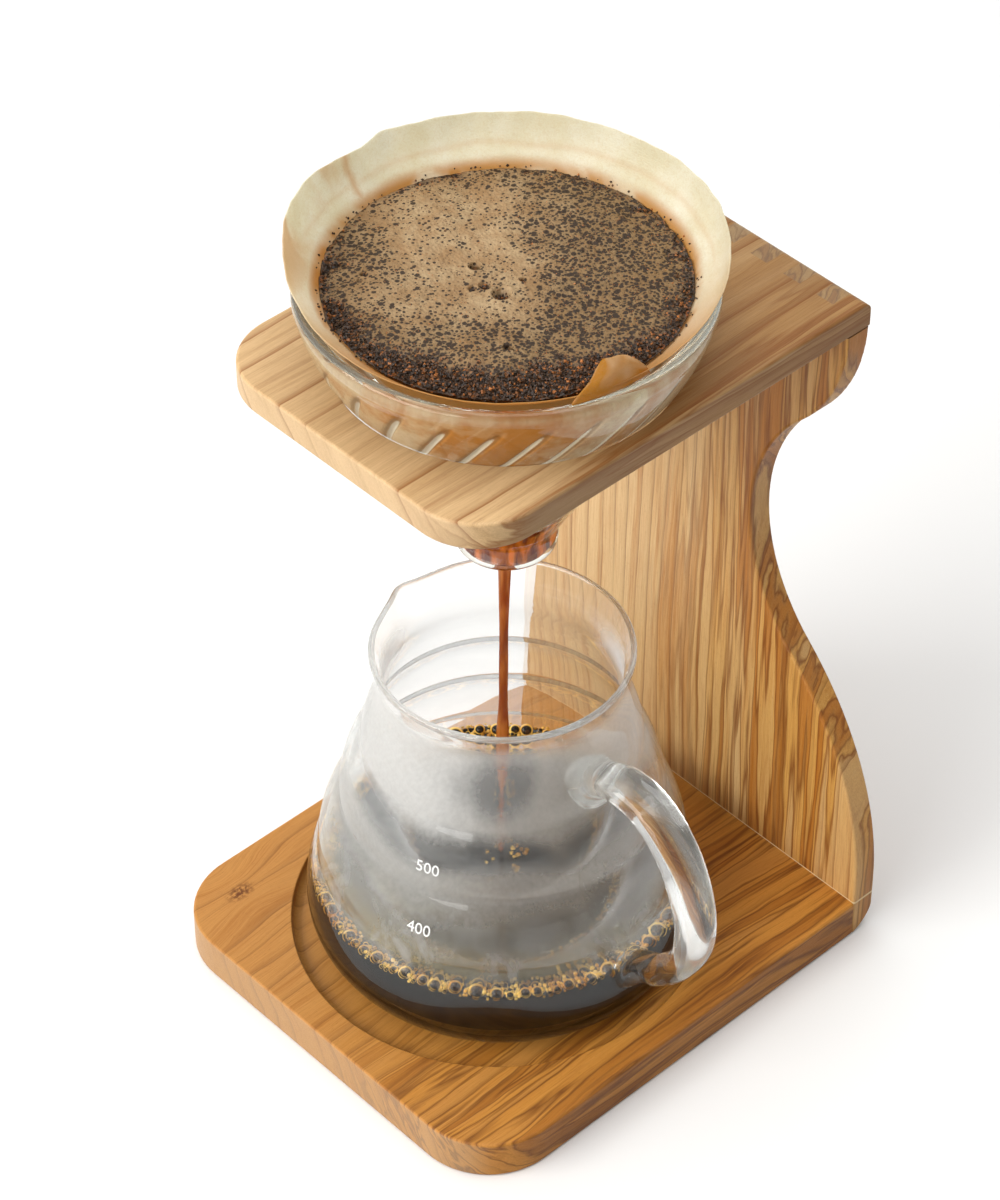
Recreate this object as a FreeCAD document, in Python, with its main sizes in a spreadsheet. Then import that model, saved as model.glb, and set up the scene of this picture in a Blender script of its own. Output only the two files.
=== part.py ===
import FreeCAD, Part

import math
import os

import Sketcher
from FreeCAD import Placement, Rotation, Vector

# Pour-over coffee stand: a wooden stand that holds a glass dripper above a glass server.
# Frame: millimetres, +Z up, -Y is the front, +X is the side that the server's handle points to.
# The origin is the centre of the server recess, on the plane that the base stands on.

# ---------------------------------------------------------------- driving dimensions
DRIVING = [
    # alias, value, meaning
    ("base_width", 150, "base board, side to side"),
    ("base_length", 168, "base board, front to rear"),
    ("base_thickness", 14, "base board thickness"),
    ("base_corner", 25, "radius of the base's front corners"),
    ("shelf_width", 110, "top shelf, side to side"),
    ("shelf_length", 152, "top shelf, front to rear"),
    ("shelf_thickness", 9, "top shelf thickness"),
    ("shelf_corner", 21, "radius of the shelf's front corners"),
    ("stand_height", 239, "table to the shelf's top face"),
    ("panel_thickness", 9, "upright panel thickness"),
    ("rear_offset", 93, "recess centre to the stand's rear face"),
    ("waist_side", 21.5, "middle of the panel to its edge at the waist"),
    ("waist_height", 146, "height of the waist"),
    ("waist_radius", 65, "radius of the waist curve"),
    ("hip_height", 20, "height where the lower curve meets the straight side"),
    ("base_fingers", 23, "fingers across the base joint, both boards together"),
    ("shelf_fingers", 17, "fingers across the shelf joint, both boards together"),
    ("arris", 1, "rounding of the boards' long edges"),
    ("heel_radius", 12, "rounding of the rear lower edge"),
    ("crown_radius", 3, "rounding of the rear upper edge"),
    ("recess_radius", 64.5, "server recess in the base"),
    ("recess_depth", 4, "depth of the server recess"),
    ("recess_cove", 3, "cove at the foot of the recess wall"),
    ("hole_radius", 50.5, "dripper hole in the shelf"),
    ("hole_setback", 4, "dripper axis behind the recess centre"),
    ("rim_above_shelf", 24, "dripper rim above the shelf"),
    ("dripper_height", 95.5, "dripper, outlet to rim"),
    ("rim_radius", 59.2, "dripper rim, outer radius"),
    ("rim_wall", 3.6, "dripper wall at the rim"),
    ("rim_bead", 1.2, "rounding of the dripper rim"),
    ("collar_radius", 15.2, "dripper outlet collar, outer radius"),
    ("collar_height", 9.5, "dripper outlet collar height"),
    ("collar_lip", 2, "rounding of the collar's lower edge"),
    ("outlet_bore", 10, "dripper outlet, inner radius"),
    ("outlet_length", 16, "straight length of the outlet bore"),
    ("rib_depth", 3.4, "how far a rib stands in from the cone wall"),
    ("rib_root", 2.8, "rib width at the wall"),
    ("rib_crest", 1.2, "rib width at its crest"),
    ("rib_count", 12, "long ribs, and as many short ones between them"),
    ("rib_pitch", 418, "height in which a rib would turn once"),
    ("rib_top", 70, "height of the ribs"),
    ("rib_start", 1, "height at which the long ribs start"),
    ("short_rib_start", 30, "height at which the short ribs start"),
    ("rib_fade", 0.35, "share of the rib's depth that is left at its top"),
    ("rib_overlap", 1, "how far a rib reaches into the wall, so that the two fuse"),
    ("seat_gap", 0.1, "gap between pieces that only rest in each other"),
    ("paper_gap", 3.7, "cone wall to paper, across the ribs"),
    ("paper_above_rim", 15.5, "paper edge above the dripper rim"),
    ("paper_thickness", 0.4, "paper with its crimped seam, averaged"),
    ("paper_tip_width", 2, "height by which the folded tip stops short of a point"),
    ("bed_above_rim", 0.5, "coffee bed above the dripper rim"),
    ("bed_tip", 5, "height of the bed's foot above the paper's point"),
    ("server_setback", 2.5, "server axis behind the recess centre"),
    ("server_height", 116.6, "server, foot to rim"),
    ("foot_radius", 52.5, "server foot"),
    ("belly_radius", 61.3, "server at its widest"),
    ("belly_height", 17, "height of the widest ring"),
    ("crease_radius", 57.4, "server at the lowest crease"),
    ("crease_height", 35, "height of the lowest crease"),
    ("tier_height", 23, "height of one tier"),
    ("tier_step", 7.2, "how much a tier narrows the server"),
    ("neck_radius", 38.7, "server where the neck starts"),
    ("neck_height", 97, "height where the neck starts"),
    ("belly_bulge", 20, "radius of the curve from the foot to the widest ring"),
    ("tier_bulge", 48, "radius of each tier's outward curve"),
    ("neck_hollow", 30, "radius of the neck's inward curve"),
    ("mouth_radius", 39.5, "server mouth, outer radius"),
    ("server_wall", 2.2, "server wall thickness"),
    ("server_floor", 4, "server floor thickness"),
    ("spout_radius", 9.2, "outer radius of the pouring lip"),
    ("spout_tilt", 21, "lean of the pouring lip, degrees"),
    ("spout_reach", 33.4, "server axis to the lip's centre at the rim"),
    ("spout_drop", 26, "how far below the rim the pouring lip starts"),
    ("spout_angle", 187, "direction of the pouring lip, degrees from +X"),
    ("handle_angle", -2, "direction of the handle, degrees from +X"),
    ("handle_high", 93, "height of the handle's upper weld"),
    ("handle_low", 29, "height of the handle's lower weld"),
    ("handle_reach", 86.3, "server axis to the middle of the handle bar"),
    ("handle_width", 14, "handle bar, side to side"),
    ("handle_depth", 9.5, "handle bar, thickness"),
    ("coffee_depth", 26, "foot of the server to the coffee's surface"),
    ("foam_width", 5, "band of bubbles at the coffee's edge"),
    ("foam_height", 1.6, "height of the bubbles"),
]

doc = FreeCAD.newDocument("PourOverStand")
sheet = doc.addObject("Spreadsheet::Sheet", "Dimensions")
for row, (alias, value, meaning) in enumerate(DRIVING, start=1):
    sheet.set(f"A{row}", meaning)
    sheet.set(f"B{row}", str(value))
    sheet.setAlias(f"B{row}", alias)
doc.recompute()


class Size:
    """A size as its present value and the sheet expression that keeps it bound."""

    def __init__(self, value, text):
        self.value = float(value)
        self.text = text

    def joined(self, other, sign, value):
        return Size(value, f"({self.text} {sign} {size(other).text})")

    def __add__(self, other):
        return self.joined(other, "+", self.value + size(other).value)

    def __sub__(self, other):
        return self.joined(other, "-", self.value - size(other).value)

    def __mul__(self, other):
        return self.joined(other, "*", self.value * size(other).value)

    def __truediv__(self, other):
        return self.joined(other, "/", self.value / size(other).value)

    def __neg__(self):
        return Size(0, "0") - self


def size(item):
    return item if isinstance(item, Size) else Size(item, repr(item))


def cell(alias):
    return Size(getattr(sheet, alias), f"Dimensions.{alias}")


# ---------------------------------------------------------------- helpers
SAME_PLACE = 1e-9
LEAST_CUT = 1e-3
EDGE_MATCH = 0.01
CLEAR_OF_PART = 2


def origin_feature(body, role):
    return next(item for item in body.Origin.OriginFeatures if item.Role == role)


def new_body(name, y=None, z=None):
    body = doc.addObject("PartDesign::Body", name)
    body.Label = name
    for axis, place in (("y", y), ("z", z)):
        if place is not None:
            body.setExpression(f"Placement.Base.{axis}", place.text)
    return body


def new_sketch(body, name, role, offset=None):
    sketch = body.newObject("Sketcher::SketchObject", name)
    sketch.AttachmentSupport = [(origin_feature(body, role), "")]
    sketch.MapMode = "FlatFace"
    if offset is not None:
        sketch.AttachmentOffset = Placement(Vector(0, 0, offset.value), Rotation())
        sketch.setExpression("AttachmentOffset.Base.z", offset.text)
    return sketch


def bind(sketch, constraint, length):
    index = sketch.addConstraint(constraint)
    sketch.setExpression(f"Constraints[{index}]", length.text)


def pin_point(sketch, geometry, end, x, y):
    """Holds one end of a sketch element at (x, y), measured from the sketch's origin."""
    for kind, place, axis in (("DistanceX", size(x), -2), ("DistanceY", size(y), -1)):
        if abs(place.value) < SAME_PLACE:
            sketch.addConstraint(Sketcher.Constraint("PointOnObject", geometry, end, axis))
        else:
            bind(sketch, Sketcher.Constraint(kind, -1, 1, geometry, end, place.value), place)


def arc_between(start, end, radius):
    """The short arc from start to end. It bulges to the right of travel if radius is positive."""
    chord = end - start
    reach = math.sqrt(max(radius * radius - chord.Length**2 / 4, 0))
    left = Vector(-chord.y, chord.x, 0).normalize()
    centre = (start + end) / 2 + left * math.copysign(reach, radius)
    first, last = (start, end) if radius > 0 else (end, start)
    angles = [math.atan2(point.y - centre.y, point.x - centre.x) for point in (first, last)]
    circle = Part.Circle(centre, Vector(0, 0, 1), abs(radius))
    return Part.ArcOfCircle(circle, angles[0], angles[1])


def draw_outline(sketch, corners):
    """A closed outline, anticlockwise. A corner is (x, y), or (x, y, radius) if an arc leaves it."""
    places = [Vector(size(corner[0]).value, size(corner[1]).value, 0) for corner in corners]
    sides = []
    for index, corner in enumerate(corners):
        start = places[index]
        end = places[(index + 1) % len(places)]
        if len(corner) == 2:
            geometry = sketch.addGeometry(Part.LineSegment(start, end), False)
            sides.append((geometry, 1, 2))
        else:
            radius = size(corner[2])
            geometry = sketch.addGeometry(arc_between(start, end, radius.value), False)
            sides.append((geometry, 1, 2) if radius.value > 0 else (geometry, 2, 1))
    for index, corner in enumerate(corners):
        geometry, head, tail = sides[index]
        following, next_head, _ = sides[(index + 1) % len(sides)]
        joint = Sketcher.Constraint("Coincident", geometry, tail, following, next_head)
        sketch.addConstraint(joint)
        pin_point(sketch, geometry, head, corner[0], corner[1])
        if len(corner) == 3:
            radius = size(corner[2])
            length = radius if radius.value > 0 else -radius
            bind(sketch, Sketcher.Constraint("Radius", geometry, length.value), length)


def draw_circle(sketch, radius):
    circle = Part.Circle(Vector(0, 0, 0), Vector(0, 0, 1), radius.value)
    geometry = sketch.addGeometry(circle, False)
    sketch.addConstraint(Sketcher.Constraint("Coincident", geometry, 3, -1, 1))
    bind(sketch, Sketcher.Constraint("Radius", geometry, radius.value), radius)


def add_pad(body, name, sketch, length):
    pad = body.newObject("PartDesign::Pad", name)
    pad.Profile = sketch
    pad.setExpression("Length", length.text)
    doc.recompute()
    return pad


def cut(body, feature):
    """Recomputes after a cutting feature and makes sure that it removed something."""
    before = body.Shape.Volume
    doc.recompute()
    if not body.Shape.Volume < before - LEAST_CUT:
        raise RuntimeError(f"{feature.Name} removed nothing")


def add_pocket(body, name, sketch, depth=None, both_ways=False):
    pocket = body.newObject("PartDesign::Pocket", name)
    pocket.Profile = sketch
    if depth is None:
        pocket.Type = "ThroughAll"
    else:
        pocket.setExpression("Length", depth.text)
    if both_ways:
        pocket.SideType = "Symmetric"
    cut(body, pocket)
    return pocket


def add_turned(body, kind, name, sketch):
    """A Revolution or a Groove, all the way round the body's own Z axis."""
    turned = body.newObject(f"PartDesign::{kind}", name)
    turned.Profile = sketch
    turned.ReferenceAxis = (origin_feature(body, "Z_Axis"), [""])
    turned.Angle = 360
    if kind == "Groove":
        cut(body, turned)
    doc.recompute()
    return turned


def turn_outline(body, kind, name, corners):
    sketch = new_sketch(body, f"{name}_sketch", "XZ_Plane")
    draw_outline(sketch, corners)
    return add_turned(body, kind, name, sketch)


def round_edges(body, name, base, radius, wanted):
    """Rounds the edges of base for which wanted(edge's bounding box) is true."""
    names = [
        f"Edge{number}"
        for number, edge in enumerate(base.Shape.Edges, start=1)
        if wanted(edge.BoundBox)
    ]
    fillet = body.newObject("PartDesign::Fillet", name)
    fillet.Base = (base, names)
    fillet.setExpression("Radius", radius.text)
    doc.recompute()
    return fillet


def near(value, target):
    return abs(value - target) < EDGE_MATCH


def cut_slots(body, name, plane_offset, role, box, depth, count, step):
    """A row of equal slots along X. box is (x0, y0, x1, y1) of the first slot in its sketch."""
    sketch = new_sketch(body, f"{name}_sketch", role, plane_offset)
    low_x, low_y, high_x, high_y = box
    draw_outline(sketch, [(low_x, low_y), (high_x, low_y), (high_x, high_y), (low_x, high_y)])
    pocket = add_pocket(body, f"{name}_first", sketch, depth)
    pattern = body.newObject("PartDesign::LinearPattern", f"{name}_row")
    pattern.Originals = [pocket]
    pattern.Direction = (origin_feature(body, "X_Axis"), [""])
    pattern.setExpression("Length", (step * (count - 1)).text)
    pattern.setExpression("Occurrences", count.text)
    body.Tip = pattern
    cut(body, pattern)
    return pattern


def cut_rear_edge(body, name, level, radius, upward):
    """Rounds the stand's rear edge at this level. The curve's axis runs along X."""
    spare = CLEAR_OF_PART
    sketch = new_sketch(body, f"{name}_sketch", "YZ_Plane")
    tangent = rear - radius
    if upward:
        corners = [
            (tangent, level + spare),
            (tangent, level, -radius),
            (rear, level - radius),
            (rear + spare, level - radius),
            (rear + spare, level + spare),
        ]
    else:
        corners = [
            (tangent, level - spare),
            (rear + spare, level - spare),
            (rear + spare, level + radius),
            (rear, level + radius, -radius),
            (tangent, level),
        ]
    draw_outline(sketch, corners)
    return add_pocket(body, name, sketch, both_ways=True)


# ---------------------------------------------------------------- sizes worked out from the sheet
rear = cell("rear_offset")
panel_front = rear - cell("panel_thickness")
base_finger = cell("base_width") / cell("base_fingers")
shelf_finger = cell("shelf_width") / cell("shelf_fingers")
shelf_top = cell("stand_height")
shelf_bottom = shelf_top - cell("shelf_thickness")
recess_floor = cell("base_thickness") - cell("recess_depth")


def board_corners(width, front, corner):
    """A board's outline from above: square at the rear, round at its two front corners."""
    half = width / 2
    return [
        (-half + corner, front),
        (half - corner, front, corner),
        (half, front + corner),
        (half, rear),
        (-half, rear),
        (-half, front + corner, corner),
    ]


# ---------------------------------------------------------------- base_board
def build_base_board():
    body = new_body("base_board")
    width = cell("base_width")
    thickness = cell("base_thickness")
    outline = new_sketch(body, "base_outline", "XY_Plane")
    draw_outline(outline, board_corners(width, rear - cell("base_length"), cell("base_corner")))
    block = add_pad(body, "base_block", outline, thickness)
    round_edges(
        body,
        "base_arris",
        block,
        cell("arris"),
        lambda box: near(box.ZMin, box.ZMax) and not near(box.YMin, rear.value),
    )
    ring = new_sketch(body, "recess_sketch", "XY_Plane", thickness)
    draw_circle(ring, cell("recess_radius"))
    recess = add_pocket(body, "recess", ring, cell("recess_depth"))
    recess_size = cell("recess_radius").value
    cove = round_edges(
        body,
        "recess_cove",
        recess,
        cell("recess_cove"),
        lambda box: near(box.ZMin, recess_floor.value)
        and near(box.ZMax, recess_floor.value)
        and near(box.XMax, recess_size),
    )
    round_edges(
        body,
        "recess_lip",
        cove,
        cell("arris") / 2,
        lambda box: near(box.ZMin, thickness.value)
        and near(box.ZMax, thickness.value)
        and near(box.XMax, recess_size),
    )
    half = width / 2
    cut_slots(
        body,
        "base_slots",
        thickness,
        "XY_Plane",
        (-half, panel_front, base_finger - half, rear),
        None,
        (cell("base_fingers") + 1) / 2,
        base_finger * 2,
    )
    cut_rear_edge(body, "base_heel", size(0), cell("heel_radius"), False)
    return body


# ---------------------------------------------------------------- top_shelf
def build_top_shelf():
    body = new_body("top_shelf", z=shelf_bottom)
    width = cell("shelf_width")
    thickness = cell("shelf_thickness")
    outline = new_sketch(body, "shelf_outline", "XY_Plane")
    draw_outline(outline, board_corners(width, rear - cell("shelf_length"), cell("shelf_corner")))
    block = add_pad(body, "shelf_block", outline, thickness)
    round_edges(
        body,
        "shelf_arris",
        block,
        cell("arris"),
        lambda box: near(box.ZMin, box.ZMax) and not near(box.YMin, rear.value),
    )
    ring = new_sketch(body, "hole_sketch", "XY_Plane", thickness)
    circle = Part.Circle(Vector(0, 0, 0), Vector(0, 0, 1), cell("hole_radius").value)
    circle.Center = Vector(0, cell("hole_setback").value, 0)
    geometry = ring.addGeometry(circle, False)
    pin_point(ring, geometry, 3, 0, cell("hole_setback"))
    radius = cell("hole_radius")
    bind(ring, Sketcher.Constraint("Radius", geometry, radius.value), radius)
    hole = add_pocket(body, "dripper_hole", ring)
    round_edges(
        body,
        "hole_arris",
        hole,
        cell("arris") / 2,
        lambda box: near(box.ZMin, box.ZMax) and near(box.XMax, radius.value),
    )
    cut_slots(
        body,
        "shelf_slots",
        thickness,
        "XY_Plane",
        (shelf_finger - width / 2, panel_front, shelf_finger * 2 - width / 2, rear),
        None,
        (cell("shelf_fingers") - 1) / 2,
        shelf_finger * 2,
    )
    cut_rear_edge(body, "shelf_crown", thickness, cell("crown_radius"), True)
    return body


# ---------------------------------------------------------------- back_panel
def panel_corners():
    """The upright's outline from the front.

    On the handle's side it is cut in by hip, waist and shoulder arcs that meet tangentially, which
    leaves room for a hand. The other side is straight.
    """
    waist_centre = cell("waist_side") + cell("waist_radius")
    waist = cell("waist_radius")

    def tangent_arc(side, level):
        """Radius of the arc that is upright at (side, level), and where it meets the waist."""
        run = waist_centre - side
        rise = level - cell("waist_height")
        radius = (rise * rise + run * run - waist * waist) / ((waist - run) * 2)
        share = waist / (waist + radius)
        meet_x = waist_centre - (run + radius) * share
        meet_z = cell("waist_height") + rise * share
        return radius, meet_x, meet_z

    base_side = cell("base_width") / 2
    shelf_side = cell("shelf_width") / 2
    hip = cell("hip_height")
    hip_radius, hip_x, hip_z = tangent_arc(base_side, hip)
    shoulder_radius, shoulder_x, shoulder_z = tangent_arc(shelf_side, shelf_bottom)
    return [
        (-base_side, 0),
        (base_side, 0),
        (base_side, hip, hip_radius),
        (hip_x, hip_z, -waist),
        (shoulder_x, shoulder_z, shoulder_radius),
        (shelf_side, shelf_bottom),
        (shelf_side, shelf_top),
        (-shelf_side, shelf_top),
        (-shelf_side, shelf_bottom),
        (-base_side, hip),
    ]


def build_back_panel():
    body = new_body("back_panel")
    outline = new_sketch(body, "panel_outline", "XZ_Plane", -rear)
    draw_outline(outline, panel_corners())
    block = add_pad(body, "panel_block", outline, cell("panel_thickness"))
    round_edges(
        body,
        "panel_arris",
        block,
        cell("arris"),
        lambda box: near(box.YMin, box.YMax)
        and box.ZMax < shelf_bottom.value + EDGE_MATCH
        and not near(box.ZMin, box.ZMax),
    )
    half = cell("base_width") / 2
    cut_slots(
        body,
        "foot_slots",
        -panel_front,
        "XZ_Plane",
        (base_finger - half, 0, base_finger * 2 - half, cell("base_thickness")),
        None,
        (cell("base_fingers") - 1) / 2,
        base_finger * 2,
    )
    half = cell("shelf_width") / 2
    cut_slots(
        body,
        "head_slots",
        -panel_front,
        "XZ_Plane",
        (-half, shelf_bottom, shelf_finger - half, shelf_top),
        None,
        (cell("shelf_fingers") + 1) / 2,
        shelf_finger * 2,
    )
    cut_rear_edge(body, "panel_heel", size(0), cell("heel_radius"), False)
    cut_rear_edge(body, "panel_crown", shelf_top, cell("crown_radius"), True)
    return body


# ---------------------------------------------------------------- dripper_cone
# Its own frame has Z = 0 where the straight outlet bore opens into the cone.
cone_origin = shelf_top + cell("rim_above_shelf") - cell("dripper_height") + cell("outlet_length")
cone_rim = cell("dripper_height") - cell("outlet_length")
cone_mouth = cell("rim_radius") - cell("rim_wall")
cone_slope = (cone_mouth - cell("outlet_bore")) / cone_rim
RIB_STATIONS = 7


def build_cone_wall():
    body = new_body("cone_wall", y=cell("hole_setback"), z=cone_origin)
    outlet = -cell("outlet_length")
    collar = cell("collar_radius")
    bore = cell("outlet_bore")
    rim = cell("rim_radius")
    lip = cell("collar_lip")
    bead = cell("rim_bead")
    seat = cone_rim - cell("rim_above_shelf")
    corners = [
        (bore, outlet),
        (collar - lip, outlet, lip),
        (collar, outlet + lip),
        (collar, outlet + cell("collar_height")),
        (cell("hole_radius") + cell("seat_gap"), seat),
        (rim, cone_rim - bead * 2),
        (rim, cone_rim - bead, bead),
        (rim - bead, cone_rim),
        (cone_mouth + bead, cone_rim, bead),
        (cone_mouth, cone_rim - bead),
        (bore, 0),
    ]
    turn_outline(body, "Revolution", "cone_turned", corners)
    return body


def rib_section(level, depth, angle):
    """A rib's level cross-section: wide where it grows from the wall, narrow at its crest."""
    wall = cell("outlet_bore").value + cone_slope.value * level
    root = cell("rib_root").value / 2
    crest = cell("rib_crest").value / 2
    buried = cell("rib_overlap").value
    corners = [
        Vector(wall + buried, -root, level),
        Vector(wall + buried, root, level),
        Vector(wall - depth, crest, level),
        Vector(wall - depth, -crest, level),
    ]
    turn = Rotation(Vector(0, 0, 1), math.degrees(angle))
    turned = [turn.multVec(corner) for corner in corners]
    return Part.makePolygon(turned + [turned[0]])


def build_rib(start, first_angle):
    """One spiral rib, from this height to the top of the ribs, where it fades into the wall."""
    top = cell("rib_top").value
    last = RIB_STATIONS - 1
    sections = []
    for station in range(RIB_STATIONS):
        level = start + (top - start) * station / last
        fade = cell("rib_fade").value if station == last else 1
        angle = first_angle + 2 * math.pi * level / cell("rib_pitch").value
        sections.append(rib_section(level, cell("rib_depth").value * fade, angle))
    return Part.makeLoft(sections, True, False)


def build_dripper_cone():
    """The glass cone with its spiral ribs: long ones, and short ones between them.

    The wall is a turned body. A rib twists as it widens, so the ribs are lofts fused to that body.
    """
    wall = build_cone_wall()
    count = int(cell("rib_count").value)
    spacing = 2 * math.pi / count
    ribs = []
    for number in range(count):
        ribs.append(build_rib(cell("rib_start").value, number * spacing))
        ribs.append(build_rib(cell("short_rib_start").value, (number + 0.5) * spacing))
    ring = doc.addObject("Part::Feature", "cone_ribs")
    ring.Shape = Part.makeCompound(ribs)
    ring.Placement = Placement(Vector(0, cell("hole_setback").value, cone_origin.value), Rotation())
    doc.recompute()
    cone = doc.addObject("Part::MultiFuse", "dripper_cone")
    cone.Label = "dripper_cone"
    cone.Shapes = [wall, ring]
    doc.recompute()
    return cone


# ---------------------------------------------------------------- paper_filter
# The paper lies on the rib crests, parallel to the cone wall. Its frame is the dripper's.
paper_edge = cone_rim + cell("paper_above_rim")


def paper_radius(level):
    """Outer radius of the paper at this height in the dripper's frame."""
    return cell("outlet_bore") - cell("paper_gap") + cone_slope * level


def paper_tip():
    """Height at which the paper's outer surface comes to its tip."""
    return -(cell("outlet_bore") - cell("paper_gap")) / cone_slope


def build_paper_filter():
    body = new_body("paper_filter", y=cell("hole_setback"), z=cone_origin)
    across = cell("paper_thickness")
    tip = paper_tip() + cell("paper_tip_width")
    floor = tip + across
    corners = [
        (0, tip),
        (paper_radius(tip), tip),
        (paper_radius(paper_edge), paper_edge),
        (paper_radius(paper_edge) - across, paper_edge),
        (paper_radius(floor) - across, floor),
        (0, floor),
    ]
    turn_outline(body, "Revolution", "paper_wall", corners)
    return body


# ---------------------------------------------------------------- coffee_bed
def build_coffee_bed():
    body = new_body("coffee_bed", y=cell("hole_setback"), z=cone_origin)
    inset = cell("paper_thickness") + cell("seat_gap")
    floor = paper_tip() + cell("bed_tip")
    top = cone_rim + cell("bed_above_rim")
    corners = [
        (0, floor),
        (paper_radius(floor) - inset, floor),
        (paper_radius(top) - inset, top),
        (0, top),
    ]
    turn_outline(body, "Revolution", "bed_heap", corners)
    return body


# ---------------------------------------------------------------- server_body
# Its own frame has Z = 0 at its foot. Each tier bulges a little between two creases.
tier_bulge = cell("tier_bulge")
belly_bulge = cell("belly_bulge")
neck_hollow = cell("neck_hollow")
TIER_CREASES = 3
BEAD_SLACK = 1.05
server_lip = cell("server_wall") / 2
server_shoulder = cell("server_height") - server_lip


def crease(number):
    """Radius and height of a crease on the outside, counted from the lowest."""
    radius = cell("crease_radius") - cell("tier_step") * number
    return radius, cell("crease_height") + cell("tier_height") * number


def server_half(inset, floor):
    """Half section of the server from its axis to a skin set in from the outside, floor to mouth."""
    corners = [
        (0, floor),
        (cell("foot_radius") - inset / 2, floor, belly_bulge - inset),
        (cell("belly_radius") - inset, cell("belly_height"), tier_bulge - inset),
    ]
    for number in range(TIER_CREASES):
        radius, height = crease(number)
        corners.append((radius - inset, height, tier_bulge - inset))
    corners.append((cell("neck_radius") - inset, cell("neck_height"), -(neck_hollow + inset)))
    corners.append((cell("mouth_radius") - inset, server_shoulder))
    corners.append((0, server_shoulder))
    return corners


def leaning_cylinder(body, name, kind, radius):
    """A cylinder that leans outwards along the pouring lip, from inside the server."""
    tilt = math.radians(cell("spout_tilt").value)
    drop = cell("spout_drop").value
    rise = CLEAR_OF_PART * 4
    foot_out = cell("spout_reach").value - drop * math.tan(tilt)
    foot = Vector(foot_out, 0, cell("server_height").value - drop)
    lean = Rotation(Vector(0, 1, 0), cell("spout_tilt").value)
    turn = Rotation(Vector(0, 0, 1), cell("spout_angle").value)
    cylinder = body.newObject(f"PartDesign::{kind}Cylinder", name)
    cylinder.setExpression("Radius", radius.text)
    cylinder.Height = (drop + rise) / math.cos(tilt)
    cylinder.Placement = Placement(turn.multVec(foot), turn.multiply(lean))
    doc.recompute()


def new_server_body(name):
    return new_body(name, y=cell("server_setback"), z=recess_floor)


def build_server_body():
    body = new_server_body("server_body")
    wall = cell("server_wall")
    mouth = cell("mouth_radius")
    beyond = mouth + cell("spout_radius") * 2
    above = server_shoulder + cell("spout_drop")
    mass = turn_outline(body, "Revolution", "server_mass", server_half(size(0), size(0)))
    leaning_cylinder(body, "lip_skin", "Additive", cell("spout_radius"))
    over_mouth = [(0, server_shoulder), (beyond, server_shoulder), (beyond, above), (0, above)]
    turn_outline(body, "Groove", "lip_trim", over_mouth)
    bead = [(mouth - wall, server_shoulder), (mouth, server_shoulder, server_lip * BEAD_SLACK)]
    turn_outline(body, "Revolution", "mouth_bead", bead)
    turn_outline(body, "Groove", "server_hollow", server_half(wall, cell("server_floor")))
    leaning_cylinder(body, "lip_channel", "Subtractive", cell("spout_radius") - wall)
    return body, mass


# ---------------------------------------------------------------- server_handle
# The bar's centreline between its two welds: share of the reach, then height above a weld.
ABOVE_HIGH_WELD = ((0.58, 6), (0.76, 5), (0.93, -9))
ABOVE_LOW_WELD = ((1.0, 37), (0.955, 20), (0.84, 8))
WELD_DEPTH = 4
WELD_SLOPE = 5


def build_server_handle(server_mass):
    """A flattened glass bar, bent to a D and welded to the server's wall at both ends.

    Its ends start inside the wall and are cut back to the server's outside. The section follows a
    curve in space, so the bar is swept as one shape.
    """
    high = cell("handle_high").value
    low = cell("handle_low").value
    reach = cell("handle_reach").value
    path_points = [Vector(cell("neck_radius").value - WELD_DEPTH, 0, high - WELD_SLOPE)]
    path_points += [Vector(reach * share, 0, high + rise) for share, rise in ABOVE_HIGH_WELD]
    path_points += [Vector(reach * share, 0, low + rise) for share, rise in ABOVE_LOW_WELD]
    low_end = cell("belly_radius").value - WELD_DEPTH * 2
    path_points.append(Vector(low_end, 0, low - WELD_SLOPE))
    path = Part.BSplineCurve()
    path.interpolate(path_points)
    start = path.value(path.FirstParameter)
    tangent = path.tangent(path.FirstParameter)[0]
    half_width = cell("handle_width").value / 2
    half_depth = cell("handle_depth").value / 2
    section = Part.Ellipse(Vector(0, 0, 0), half_width, half_depth).toShape()
    across = Vector(0, 1, 0)
    upright = tangent.cross(across)
    section.Placement = Placement(start, Rotation(across, upright, tangent, "ZXY"))
    bar = Part.Wire(path.toShape()).makePipeShell([Part.Wire(section)], True, False)
    handle = doc.addObject("Part::Feature", "server_handle")
    handle.Label = "server_handle"
    handle.Shape = bar.cut(server_mass.Shape)
    setback = cell("server_setback").value
    turn = Rotation(Vector(0, 0, 1), cell("handle_angle").value)
    handle.Placement = Placement(Vector(0, setback, recess_floor.value), turn)
    return handle


# ---------------------------------------------------------------- brewed_coffee and coffee_foam
def build_brewed_coffee():
    """Coffee fills the server's hollow up to its surface, a hair clear of the glass."""
    body = new_server_body("brewed_coffee")
    gap = cell("seat_gap")
    skin = cell("server_wall") + gap
    level = cell("coffee_depth")
    beyond = cell("belly_radius") + CLEAR_OF_PART
    above = server_shoulder + CLEAR_OF_PART
    turn_outline(body, "Revolution", "coffee_mass", server_half(skin, cell("server_floor") + gap))
    over_coffee = [(0, level), (beyond, level), (beyond, above), (0, above)]
    turn_outline(body, "Groove", "coffee_surface", over_coffee)
    return body


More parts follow.
